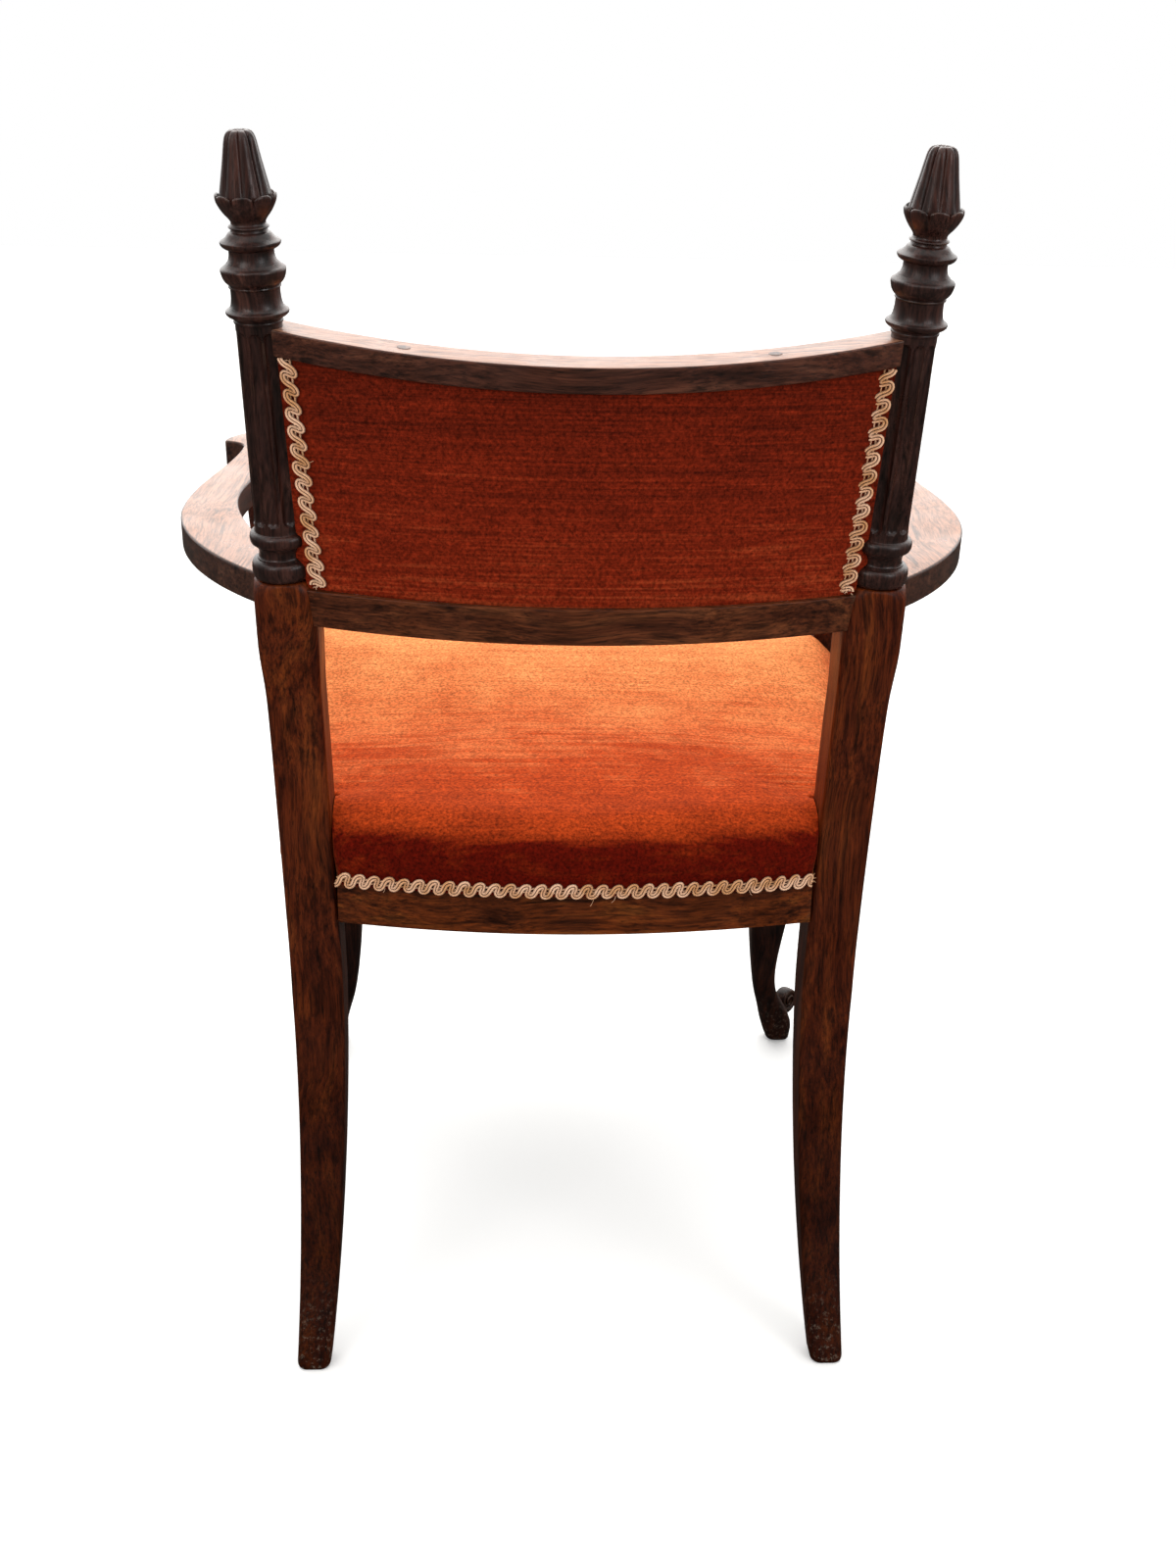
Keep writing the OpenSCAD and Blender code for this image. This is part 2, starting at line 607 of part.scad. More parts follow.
// Glued and screwed blocks across the inner corners of the seat frame
corner_tall = 34;
corner_leg = 52;
corner_z = rail_bottom + 12;
module inside_seat() difference() {
    children();
    translate([0, 0, 0]) linear_extrude(2 * far) polygon(concat(
        bow_edge(seat_post_x, back_line + far, rail_bow),
        back_to_front(bow_edge(seat_post_x, back_line - rail_thick, rail_bow))));
    linear_extrude(2 * far) polygon(concat(
        bow_edge(block_inner, front_rail_y - far, -front_bow),
        back_to_front(bow_edge(block_inner, front_rail_y + rail_thick + 6, -front_bow))));
    for (side = [-1, 1]) mirrored(side) {
        side_frame() translate([rail_thick - far, -far, 0]) cube([far, 3 * far, 2 * far]);
        plain_post();
        leg_block();
    }
}
screw_d = 4.5;
screw_head_d = 9;
screw_head_h = 3;
// A screw from the slanted face of a block into a rail: where its head is, its heading and its length
module block_screw(x, y, turn, long, grow) translate([x, y, corner_z + corner_tall / 2]) rotate([0, 90, turn]) {
    cylinder(d = screw_d + 2 * grow, h = long + grow, $fn = 24);
    translate([0, 0, -grow]) cylinder(d = screw_head_d + 2 * grow, h = screw_head_h + 2 * grow, $fn = 24);
}
module block_screws(grow = 0) for (side = [-1, 1]) mirrored(side) {
    block_screw(block_inner - corner_leg * 0.64, front_y + 54, -90, 36, grow);
    block_screw(block_inner - 2, side_front_y + 28, 0, 32, grow);
    block_screw(inner_post_x - corner_leg * 0.52, back_line - 46, 90, 48, grow);
    block_screw(inner_post_x + 1, post_y - post_w / 2 - corner_leg * 0.68, 0, 32, grow);
}
module corner_blocks() color(beech) difference() {
    inside_seat() for (side = [-1, 1]) mirrored(side) translate([0, 0, corner_z]) linear_extrude(corner_tall) {
        polygon([[leg_x, front_y + rail_thick], [leg_x, side_front_y + corner_leg],
            [block_inner + 22, side_front_y + corner_leg],
            [block_inner - corner_leg, front_y + rail_thick + 10],
            [block_inner - corner_leg, front_y]]);
        polygon([[seat_post_x + post_w, post_y - post_w / 2 - corner_leg], [seat_post_x + post_w, back_line],
            [inner_post_x - corner_leg, back_line + 20], [inner_post_x - corner_leg, back_line - rail_thick],
            [seat_post_x - 6, post_y - post_w / 2 - corner_leg]]);
    }
    block_screws(joint_gap);
}
module corner_block_screws() color(steel) block_screws();

// Webbing, hessian and stuffing: bands over the rail tops
seat_inner_back = back_line - rail_thick / 2;
long_strips = 7;
cross_strips = 6;
module seat_top_outline(inset) polygon(concat(
    bow_edge(inner_post_x - 3, back_line - inset, rail_bow),
    [[seat_post_x - post_w / 2 - 4, post_y - post_w / 2 - 4], [side_back_x - inset, post_y - post_w / 2 - 4],
     [side_front_x - inset, leg_y + block_w / 2 + 2], [block_inner - 2, leg_y + block_w / 2 + 2]],
    back_to_front(bow_edge(block_inner - 2, front_rail_y + inset, -front_bow)),
    [[-block_inner + 2, leg_y + block_w / 2 + 2], [-side_front_x + inset, leg_y + block_w / 2 + 2],
     [-side_back_x + inset, post_y - post_w / 2 - 4],
     [-seat_post_x + post_w / 2 + 4, post_y - post_w / 2 - 4]]));
long_pitch = 2 * (inner_post_x - 30) / (long_strips - 1);
module seat_webbing_long() color(jute) translate([0, 0, rail_top])
    linear_extrude(seat_web_thick) intersection() {
    seat_top_outline(10);
    for (i = [0:long_strips - 1])
        translate([-inner_post_x + 30 + i * long_pitch - web_w / 2, -far]) square([web_w, 2 * far]);
}
cross_pitch = (seat_depth - 2 * block_w - 70) / (cross_strips - 1);
module seat_webbing_cross() color(jute) translate([0, 0, rail_top + seat_web_thick])
    linear_extrude(seat_web_thick) intersection() {
        seat_top_outline(10);
        for (i = [0:cross_strips - 1])
            translate([-far, leg_y + block_w / 2 + 38 + i * cross_pitch - web_w / 2]) square([2 * far, web_w]);
    }
hessian_z = rail_top + 2 * seat_web_thick;
module seat_hessian() color(jute) translate([0, 0, hessian_z])
    linear_extrude(hessian_thick) seat_top_outline(5);

// Crowned seat: rings of points from the lap up over the roll to the middle
side_n = 14;
function lerp(a, b, t) = a + (b - a) * t;
function back_edge_y(x) = back_line + rail_bow * max(0, 1 - pow(x / seat_post_x, 2));
function front_edge_y(x) = front_rail_y - front_bow * max(0, 1 - pow(x / block_inner, 2));
seat_ring = concat(
    [for (i = [0:side_n - 1]) let (x = lerp(side_back_x, -side_back_x, i / side_n)) [x, back_edge_y(x)]],
    [for (i = [0:side_n - 1])
        [lerp(-side_back_x, -side_front_x, i / side_n), lerp(back_line, side_front_y, i / side_n)]],
    [[-side_front_x, side_front_y]],
    [for (i = [0:side_n - 1]) let (x = lerp(-side_front_x, side_front_x, i / side_n)) [x, front_edge_y(x)]],
    [[side_front_x, front_rail_y]],
    [for (i = [0:side_n - 1])
        [lerp(side_front_x, side_back_x, i / side_n), lerp(side_front_y, back_line, i / side_n)]]);
seat_mid_y = (back_line + front_y) / 2;
seat_count = len(seat_ring);
lap_z = rail_top - cover_lap;
roll_in = 36;
roll_out = 4;
crown_rise = 12;
roll_tall = cover_lap + seat_crown - crown_rise;
build_from = 60;
build_run = 230;
// The stuffing is built up towards the front
function built_up(y) = front_build * ease(clamp01((seat_mid_y + build_from - y) / build_run));
// Each ring of the seat: how far it stands out from the rails, how high above the lap,
// and its share of the front's extra height
function seat_stations(out, up) = concat(
    [[out, 0, 0], [out, gimp_w - 1, 0]],
    [for (a = [0:20:80]) [out + roll_out - roll_in * (1 - cos(a)),
        cover_lap + (roll_tall - cover_lap) * sin(a) + up, sin(a)]],
    [for (q = [0.8, 0.6, 0.36, 0.14])
        [-(1 - q) * side_front_x, roll_tall + up + crown_rise * (1 - q * q), 1]]);
function ring_scale(grow) = (side_front_x + grow) / side_front_x;
function ring_at(out, z, share = 0) = let (k = ring_scale(out))
    [for (p = seat_ring) let (y = seat_mid_y + (p[1] - seat_mid_y) * k) [p[0] * k, y, z + share * built_up(y)]];
function seat_shell(out, up) = [for (s = seat_stations(out, up)) each ring_at(s[0], lap_z + s[1], s[2])];
function seat_peak(up) = [[0, seat_mid_y, lap_z + roll_tall + up + crown_rise + built_up(seat_mid_y)]];
seat_rings = len(seat_stations(0, 0));
shell_count = seat_rings * seat_count;
function wall_faces(base, rings) = [for (r = [0:rings - 2]) for (i = [0:seat_count - 1])
    let (j = (i + 1) % seat_count, a = base + r * seat_count, b = a + seat_count)
        each quad(a + i, a + j, b + j, b + i)];
function cap_faces(base, tip) = [for (i = [0:seat_count - 1])
    let (j = (i + 1) % seat_count) [base + i, base + j, tip]];
function flipped(faces) = [for (f = faces) [f[2], f[1], f[0]]];

// Solid crowned form
module seat_form(out, up) polyhedron(
    concat(seat_shell(out, up), seat_peak(up), [[0, seat_mid_y, lap_z]]),
    concat(wall_faces(0, seat_rings), cap_faces(shell_count - seat_count, shell_count),
        flipped(cap_faces(0, shell_count + 1))));

// The same form as a cover of one thickness, open underneath
module seat_skin(out, thick) polyhedron(
    concat(seat_shell(out + thick, 0), seat_peak(0), seat_shell(out, -thick), seat_peak(-thick)),
    concat(wall_faces(0, seat_rings), cap_faces(shell_count - seat_count, shell_count),
        flipped(wall_faces(shell_count + 1, seat_rings)),
        flipped(cap_faces(2 * shell_count + 1 - seat_count, 2 * shell_count + 1)),
        [for (i = [0:seat_count - 1]) let (j = (i + 1) % seat_count)
            each quad(shell_count + 1 + i, shell_count + 1 + j, j, i)]));

// Where the cover and the stuffing are cut round the posts and the arm supports,
// with the cut's rear following each support as it sweeps back
module seat_corner_cuts(gap) for (side = [-1, 1]) mirrored(side) {
    translate([inner_post_x - gap, post_y - post_w / 2 - gap, rail_bottom - 2]) cube([far, far, far]);
    translate([support_x - support_w / 2 - gap, leg_y - far + support_d / 2 + gap, rail_top - far])
        cube([support_w + 2 * gap + far, far, 2 * far]);
    translate([support_x - support_w / 2 - gap, 0, 0]) rotate([90, 0, 90])
        linear_extrude(far) polygon(widen(support_mid_y, support_d / 2 + gap));
}

module seat_stuffing() color(jute) difference() {
    seat_form(0, -velvet);
    translate([-far, -2 * far, 0]) cube([2 * far, 4 * far, hessian_z + hessian_thick]);
    seat_corner_cuts(2 + velvet);
}
module seat_cover() color(velvet_colour) difference() {
    seat_skin(0.1, velvet);
    seat_corner_cuts(2);
}

// Braid over the lower edge of the cover
gimp_low = lap_z - 2;
module gimp_band(out) difference() {
    scale_ring(out + gimp_thick);
    scale_ring(out);
}
module scale_ring(out) polygon([for (p = ring_at(out, 0)) [p[0], p[1]]]);
module seat_gimp_ring() difference() {
    translate([0, 0, gimp_low]) linear_extrude(gimp_w) gimp_band(velvet + 0.2);
    seat_corner_cuts(2);
}
module seat_gimp_back() color(braid) intersection() {
    seat_gimp_ring();
    translate([0.5 - inner_post_x, 0, 0]) cube([2 * inner_post_x - 1, far, 2 * far]);
}
module seat_gimp_front() color(braid) intersection() {
    seat_gimp_ring();
    translate([-block_inner + 8, -far, 0]) cube([2 * block_inner - 16, far, 2 * far]);
}
module seat_gimp_side(side) color(braid) intersection() {
    seat_gimp_ring();
    mirrored(side) translate([seat_post_x, front_y + block_w, 0])
        cube([far, post_y - post_w / 2 - 6 - front_y - block_w, 2 * far]);
}

module bottom_cloth() color([0.12, 0.12, 0.12]) translate([0, 0, rail_bottom - 1]) linear_extrude(1)
    seat_top_outline(8);

// Cabriole front leg, sawn from the front and from the side to one outline
leg_top_half = block_w / 2;
knee_out = 6;
scroll_z = 44;
scroll_reach = 14;
support_x = leg_x + (block_w - support_w) / 2;
foot_out = toe_out - ankle_in;
ankle_out_x = ankle_w / 2 - ankle_in;
ankle_in_x = -ankle_w / 2 - ankle_in;
leg_outer = concat(
    [[foot_out + 11, 0], [foot_out + 12, 3], [foot_out + 13, 20]],
    curve([[foot_out + 12, 30], [foot_out + 4, 48], [ankle_out_x + 5, 58], [ankle_out_x + 1, 80]], 8),
    curve([[ankle_out_x, 92], [ankle_out_x, 115], [ankle_out_x + 5, 145],
        [ankle_out_x + 16, 205]], 8),
    curve([[ankle_out_x + 17, 208], [ankle_out_x + 27, 245], [leg_top_half + knee_out, 265],
        [leg_top_half + knee_out, 312]], 8),
    [[leg_top_half + knee_out - 1, rail_bottom - 22], [leg_top_half, rail_bottom - 8],
     [leg_top_half, rail_top]]);
leg_inner = concat(
    [[-leg_top_half, rail_top], [-leg_top_half, rail_bottom - 8]],
    curve([[-leg_top_half - 1, rail_bottom - 12], [-leg_top_half - 10, 300], [-leg_top_half - 20, 230],
        [ankle_in_x - 4, 165]], 8),
    curve([[ankle_in_x - 4, 160], [ankle_in_x - 3, 130], [ankle_in_x, 96], [ankle_in_x + 7, 62]], 8),
    [[foot_out - 26, 42], [foot_out - 21, 20], [foot_out - 14, 3], [foot_out - 12, 0]]);
module leg_outline() polygon(concat(leg_outer, leg_inner));
module leg_blank() intersection() {
    translate([leg_x, leg_y, 0]) rotate([90, 0, 0])
        translate([0, 0, -far / 2]) linear_extrude(far) leg_outline();
    translate([leg_x, leg_y, 0]) rotate([90, 0, -90])
        translate([0, 0, -far / 2]) linear_extrude(far) leg_outline();
}

// Arm support's dowel into the leg block and the arm
support_dowel_long = 30;
module support_dowel_low(grow = 0) translate([support_x, leg_y, rail_top - support_dowel_long / 2 - grow])
    cylinder(d = dowel_d + 2 * grow, h = support_dowel_long + 2 * grow, $fn = 32);

module front_leg(side) color(rosewood) mirrored(side) difference() {
    union() {
        leg_blank();
        translate([leg_x + foot_out + scroll_reach, leg_y - foot_out - scroll_reach, scroll_z])
            rotate([0, 0, -45]) rotate([90, 0, 0])
            cylinder(r = scroll_r, h = scroll_w, center = true, $fn = 48);
    }
    front_tenon(joint_gap);
    side_front_tenon(joint_gap);
    support_dowel_low(joint_gap);
}

// Flat arm board, cut to a sweeping outline, rising to the front
arm_inner_bow = arm_reach - arm_w;
waist_out = arm_reach - 22;
waist_w = 40;
waist_y = joint_y - arm_waist_at;
tip_y = back_line - arm_long;
arm_bow_y = joint_y - arm_bow_at;
arm_outline = concat(
    curve([[joint_x + 4, joint_y + 14], [joint_x + 53, joint_y - 26],
        [arm_reach, joint_y - 98], [arm_reach, arm_bow_y]]),
    curve([[arm_reach, arm_bow_y], [arm_reach, arm_bow_y - 75],
        [waist_out, waist_y + 65], [waist_out, waist_y]]),
    curve([[waist_out, waist_y], [waist_out, waist_y - 14], [waist_out + 12, waist_y - 18],
        [waist_out + 19, waist_y - 20]], 6),
    curve([[waist_out + 19, waist_y - 20], [waist_out + 26, waist_y - 26], [waist_out + 8, tip_y + 2],
        [waist_out - 18, tip_y]], 8),
    curve([[waist_out - 18, tip_y], [waist_out - 44, tip_y + 2], [waist_out - 68, waist_y - 26],
        [waist_out - 59, waist_y - 18]], 8),
    curve([[waist_out - 59, waist_y - 18], [waist_out - 50, waist_y - 14], [waist_out - waist_w, waist_y - 14],
        [waist_out - waist_w, waist_y + 2]], 6),
    curve([[waist_out - waist_w, waist_y + 2], [waist_out - waist_w, waist_y + 65],
        [arm_inner_bow, arm_bow_y - 90], [arm_inner_bow, arm_bow_y - 34]]),
    curve([[arm_inner_bow, arm_bow_y - 34], [arm_inner_bow, arm_bow_y + 25],
        [joint_x + 33, joint_y - 98], [joint_x + 12, joint_y - 50]]),
    [[joint_x + 4, joint_y - 18]]);
module arm_frame() translate([0, joint_y, joint_height]) rotate([-arm_rise, 0, 0])
    translate([0, -joint_y, 0]) children();
module arm_board() arm_frame() translate([0, 0, -arm_thick]) linear_extrude(arm_thick) polygon(arm_outline);
module arm(side) color(rosewood) mirrored(side) difference() {
    arm_board();
    plain_post(fit_gap);
    post_axis() translate([0, 0, -80]) cylinder(r = round_r - 1, h = 160, $fn = 64);
    post_axis() translate([0, 0, -3]) cylinder(r = lower_ring_r + 0.3, h = 63, $fn = 64);
    arm_dowel(joint_gap);
    support_dowel_high(joint_gap);
}

// Swept arm support from the front leg up to the arm
support_top_x = waist_out - waist_w / 2;
support_top_y = waist_y + 22;
support_top_z = joint_height + (joint_y - support_top_y) * tan(arm_rise) - arm_thick / cos(arm_rise);
support_mid_x = curve([[support_x, rail_top], [support_x + 2, rail_top + 80],
    [support_top_x + 6, support_top_z - 90], [support_top_x, support_top_z + 12]]);
support_mid_y = curve([[leg_y, rail_top], [leg_y - 6, rail_top + 95], [support_top_y - 2, support_top_z - 100],
    [support_top_y, support_top_z + 12]]);
function widen(mid, half) = concat([for (p = mid) [p[0] + half, p[1]]],
    back_to_front([for (p = mid) [p[0] - half, p[1]]]));
module support_dowel_high(grow = 0)
    translate([support_top_x, support_top_y, support_top_z - support_dowel_long / 2 - grow])
    cylinder(d = dowel_d + 2 * grow, h = support_dowel_long + 2 * grow, $fn = 32);
module arm_support(side) color(rosewood) mirrored(side) difference() {
    intersection() {
        rotate([90, 0, 0]) translate([0, 0, -far])
            linear_extrude(2 * far) polygon(widen(support_mid_x, support_w / 2));
        rotate([90, 0, 90]) linear_extrude(far) polygon(widen(support_mid_y, support_d / 2));
    }
    arm_frame() translate([0, -2 * far, -arm_thick]) cube([2 * far, 4 * far, far]);
    support_dowel_low(joint_gap);
    support_dowel_high(joint_gap);
}
module arm_dowels() color(beech) for (side = [-1, 1]) mirrored(side) {
    arm_dowel();
    support_dowel_low();
    support_dowel_high();
}

back_post(1);  // back_post_left
back_post(-1);  // back_post_right
finial(1);  // finial_left
finial(-1);  // finial_right
top_rail();
top_rail_pellets();
lower_back_rail();
back_stile(1);  // back_stile_left
back_stile(-1);  // back_stile_right
back_webbing();
back_hessian();
back_pad();
inside_back();
outside_back();
back_gimp(1);  // back_gimp_left
back_gimp(-1);  // back_gimp_right
front_back_gimp();
seat_rail_back();
seat_rail_front();
seat_rail_side(1);  // seat_rail_left
seat_rail_side(-1);  // seat_rail_right
corner_blocks();
corner_block_screws();
seat_webbing_long();
seat_webbing_cross();
seat_hessian();
seat_stuffing();
seat_cover();
seat_gimp_back();
seat_gimp_front();
seat_gimp_side(1);  // seat_gimp_left
seat_gimp_side(-1);  // seat_gimp_right
bottom_cloth();
front_leg(1);  // front_leg_left
front_leg(-1);  // front_leg_right
arm(1);  // arm_left
arm(-1);  // arm_right
arm_support(1);  // arm_support_left
arm_support(-1);  // arm_support_right
arm_dowels();
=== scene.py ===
# The looks of an open-arm rosewood chair with a velvet seat and back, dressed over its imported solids.
import math
import random

import bpy
import numpy as np
from mathutils import Matrix, Vector


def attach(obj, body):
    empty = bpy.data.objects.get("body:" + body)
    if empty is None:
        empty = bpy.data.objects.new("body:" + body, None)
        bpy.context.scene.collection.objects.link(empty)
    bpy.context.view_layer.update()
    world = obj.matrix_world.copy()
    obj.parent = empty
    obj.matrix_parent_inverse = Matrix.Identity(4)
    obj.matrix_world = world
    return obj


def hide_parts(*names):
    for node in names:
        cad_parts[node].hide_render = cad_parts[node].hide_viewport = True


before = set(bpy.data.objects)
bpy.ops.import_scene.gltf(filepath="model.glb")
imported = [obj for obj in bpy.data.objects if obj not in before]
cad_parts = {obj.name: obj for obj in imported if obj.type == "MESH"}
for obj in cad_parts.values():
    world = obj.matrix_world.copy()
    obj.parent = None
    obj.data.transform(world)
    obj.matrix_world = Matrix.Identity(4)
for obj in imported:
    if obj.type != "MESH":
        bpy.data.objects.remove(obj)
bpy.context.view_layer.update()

# The view, the floor and the light.
# The chair stands on a plain pale floor and is seen from behind, a little above its back.
# A wide soft light hangs over its front side, so that the tops of the rails and arms look pale.
camera = bpy.data.objects.new("camera", bpy.data.cameras.new("camera"))
bpy.context.scene.collection.objects.link(camera)
bpy.context.scene.camera = camera
camera.data.sensor_fit = "AUTO"
camera.data.sensor_width = 36.0
camera.data.lens = 38.25
camera.data.clip_end = 60.0
camera_place = (0.057, 1.445, 0.931)
yaw, pitch, roll = math.radians(3.0), math.radians(20.0), math.radians(1.26)
ahead, right, up = Vector((0, -1, 0)), Vector((-1, 0, 0)), Vector((0, 0, 1))
ahead, right = math.cos(yaw) * ahead + math.sin(yaw) * right, math.cos(yaw) * right - math.sin(yaw) * ahead
ahead, up = math.cos(pitch) * ahead - math.sin(pitch) * up, math.cos(pitch) * up + math.sin(pitch) * ahead
right, up = math.cos(roll) * right + math.sin(roll) * up, math.cos(roll) * up - math.sin(roll) * right
camera.matrix_world = Matrix((
    (right.x, up.x, -ahead.x, camera_place[0]),
    (right.y, up.y, -ahead.y, camera_place[1]),
    (right.z, up.z, -ahead.z, camera_place[2]),
    (0, 0, 0, 1)))


def fill(tree, node, values):
    """Sets a node's sockets: a number or colour is set, and another node's socket is linked."""
    for socket, value in dict(values).items():
        if isinstance(value, bpy.types.NodeSocket):
            tree.links.new(value, node.inputs[socket])
        else:
            node.inputs[socket].default_value = value


def add(tree, kind, values=(), **settings):
    """One shader node with its settings and its sockets."""
    made = tree.nodes.new("ShaderNode" + kind)
    for key, value in settings.items():
        setattr(made, key, value)
    fill(tree, made, values)
    return made


def ranged(tree, value, low, high, to_low=0.0, to_high=1.0, **settings):
    """A value carried from one range to another."""
    return add(tree, "MapRange", {"Value": value, "From Min": low, "From Max": high, "To Min": to_low,
                                  "To Max": to_high}, **settings).outputs["Result"]


def worked(tree, operation, a, b):
    """Two values put together."""
    return add(tree, "Math", {0: a, 1: b}, operation=operation).outputs[0]


bpy.ops.object.select_all(action="DESELECT")
bpy.ops.mesh.primitive_grid_add(x_subdivisions=8, y_subdivisions=8, size=40, location=(0, 0, 0))
floor = bpy.context.object
floor.name = "floor"
paint = bpy.data.materials.new("pale_floor")
paint.use_nodes = True
ground = paint.node_tree
ground.nodes.clear()
bright = add(ground, "BsdfDiffuse", {"Color": (0.95, 0.95, 0.945, 1)})
dim = add(ground, "BsdfDiffuse", {"Color": (0.42, 0.41, 0.40, 1)})
lift = add(ground, "Emission", {"Color": (1.0, 1.0, 1.0, 1), "Strength": 0.16})
shown = add(ground, "AddShader", {0: bright.outputs[0], 1: lift.outputs[0]})
dark = add(ground, "BsdfDiffuse", {"Color": (0.055, 0.05, 0.045, 1)})
rays = add(ground, "LightPath").outputs
dim = add(ground, "MixShader", {"Fac": rays["Is Glossy Ray"], 1: dim.outputs[0], 2: dark.outputs[0]})
which = add(ground, "MixShader", {"Fac": rays["Is Camera Ray"], 1: dim.outputs[0], 2: shown.outputs[0]})
add(ground, "OutputMaterial", {"Surface": which.outputs[0]})
floor.data.materials.append(paint)

world = bpy.data.worlds.new("studio")
bpy.context.scene.world = world
world.use_nodes = True
sky = world.node_tree
sky.nodes.clear()
heading = add(sky, "SeparateXYZ", {"Vector": add(sky, "TexCoord").outputs["Generated"]})


def band(value, low, high, to_low=0.0, to_high=1.0):
    """A soft step of the sky's light."""
    return ranged(sky, value, low, high, to_low, to_high, interpolation_type="SMOOTHSTEP")


to_front = band(heading.outputs["Y"], -0.25, -0.85)
above_floor = band(heading.outputs["Z"], 0.02, 0.16)
below_top = band(heading.outputs["Z"], 0.52, 0.78, 1.0, 0.0)
softbox = worked(sky, "MULTIPLY", worked(sky, "MULTIPLY", to_front, above_floor), below_top)
softbox = worked(sky, "MULTIPLY", softbox, 2.5)
overhead = band(heading.outputs["Z"], 0.35, 0.85, 0.0, 1.15)
behind = band(heading.outputs["Y"], -0.2, 0.7, 0.36, 0.14)
soft = worked(sky, "ADD", worked(sky, "ADD", softbox, overhead), behind)
lit = add(sky, "Background", {"Color": (1.0, 0.99, 0.975, 1), "Strength": soft})
seen = add(sky, "Background", {"Color": (1, 1, 1, 1), "Strength": 1.0})
which = add(sky, "MixShader", {"Fac": add(sky, "LightPath").outputs["Is Camera Ray"],
                               1: lit.outputs[0], 2: seen.outputs[0]})
add(sky, "OutputWorld", {"Surface": which.outputs[0]})


def soft_light(name, place, aim, size, watts, colour):
    """A square lamp turned to what it lights."""
    lamp = bpy.data.lights.new(name, "AREA")
    lamp.shape = "SQUARE"
    lamp.size = size
    lamp.energy = watts
    lamp.color = colour
    holder = bpy.data.objects.new(name, lamp)
    bpy.context.scene.collection.objects.link(holder)
    holder.location = place
    holder.rotation_euler = (Vector(aim) - Vector(place)).to_track_quat("-Z", "Y").to_euler()


soft_light("over_front", (0.3, -1.6, 3.4), (0, 0, 0.4), 2.4, 46, (1.0, 0.98, 0.95))
soft_light("over_left", (1.7, 2.2, 1.9), (0, 0, 0.55), 1.1, 15, (1.0, 0.97, 0.94))
soft_light("over_right", (-1.9, 2.0, 1.7), (0, 0, 0.55), 1.1, 17, (0.98, 0.98, 1.0))
bpy.context.scene.view_settings.view_transform = "Standard"

# Back posts, plain part.
# Each rear leg and back upright is one length of rosewood, sawn to a sabre curve, with softened arrises.
# It is square in the leg, turns round under the joint line, and its foot is worn at the edges.
MM = 0.001
RAKE = math.radians(9.6)
LEAN = math.radians(2.0)
JOINT_X, JOINT_Y, JOINT_Z = 222.0, 217.0, 649.0


def cubic(points, steps=40):
    """Points along a smooth curve through two ends and two pulls."""
    a, b, c, d = (np.array(p, float) for p in points)
    t = np.linspace(0, 1, steps + 1)[:, None]
    return (1 - t) ** 3 * a + 3 * t * (1 - t) ** 2 * b + 3 * t * t * (1 - t) * c + t ** 3 * d


def ease(t):
    """A soft step from nought to one."""
    t = min(1.0, max(0.0, t))
    return t * t * (3 - 2 * t)


def raked(x, v, w):
    """A point of the raked back: v to the rear and w up the posts from the joint line."""
    return (x, JOINT_Y + v * math.cos(RAKE) + w * math.sin(RAKE),
            JOINT_Z - v * math.sin(RAKE) + w * math.cos(RAKE))


def on_post(x, y, s):
    """A point about the left post's turning axis, s above the joint line."""
    return raked(JOINT_X + x * math.cos(LEAN) + s * math.sin(LEAN), y,
                 -x * math.sin(LEAN) + s * math.cos(LEAN))


def new_grid(name, cols, rows):
    """A flat grid, to be bent into a piece."""
    bpy.ops.object.select_all(action="DESELECT")
    bpy.ops.mesh.primitive_grid_add(x_subdivisions=cols, y_subdivisions=rows, size=1)
    piece = bpy.context.object
    piece.name = piece.data.name = name
    return piece


def open_mesh():
    """Takes the whole mesh of the piece in hand into edit mode."""
    bpy.ops.object.mode_set(mode="EDIT")
    bpy.ops.mesh.select_all(action="SELECT")


def face_out():
    """Turns all faces outwards and leaves edit mode."""
    bpy.ops.mesh.select_all(action="SELECT")
    bpy.ops.mesh.normals_make_consistent(inside=False)
    bpy.ops.object.mode_set(mode="OBJECT")


def lofted(name, rings, angle=38.0):
    """A closed skin over rings of points in millimetres: a grid bent round them and sewn up."""
    rings = np.array(rings, float)
    rings = np.concatenate([rings, rings[:, :1]], axis=1)
    rows, cols = rings.shape[:2]
    piece = new_grid(name, cols - 1, rows - 1)
    piece.data.vertices.foreach_set("co", (rings * MM).astype(np.float32).ravel())
    open_mesh()
    bpy.ops.mesh.remove_doubles(threshold=0.00002)
    bpy.ops.mesh.fill_holes(sides=0)
    face_out()
    bpy.ops.object.shade_smooth_by_angle(angle=math.radians(angle))
    return piece


def joined(name, *parts):
    """Several shells as one piece."""
    bpy.ops.object.select_all(action="DESELECT")
    for part in parts:
        part.select_set(True)
    bpy.context.view_layer.objects.active = parts[0]
    bpy.ops.object.join()
    parts[0].name = parts[0].data.name = name
    return parts[0]


def other_side(piece, name):
    """A copy for the sitter's right, turned over the middle of the chair."""
    twin = piece.copy()
    twin.data = piece.data.copy()
    twin.name = twin.data.name = name
    twin.data.transform(Matrix.Scale(-1, 4, (1, 0, 0)))
    twin.data.flip_normals()
    bpy.context.scene.collection.objects.link(twin)
    return twin


def fresh(name):
    """A new material, its node tree and its shader."""
    material = bpy.data.materials.new(name)
    material.use_nodes = True
    return material, material.node_tree, material.node_tree.nodes["Principled BSDF"]


def noise(tree, place, size, detail, **more):
    """A cloudy value over the piece."""
    return add(tree, "TexNoise", {"Vector": place, "Scale": size, "Detail": detail, **more}).outputs["Fac"]


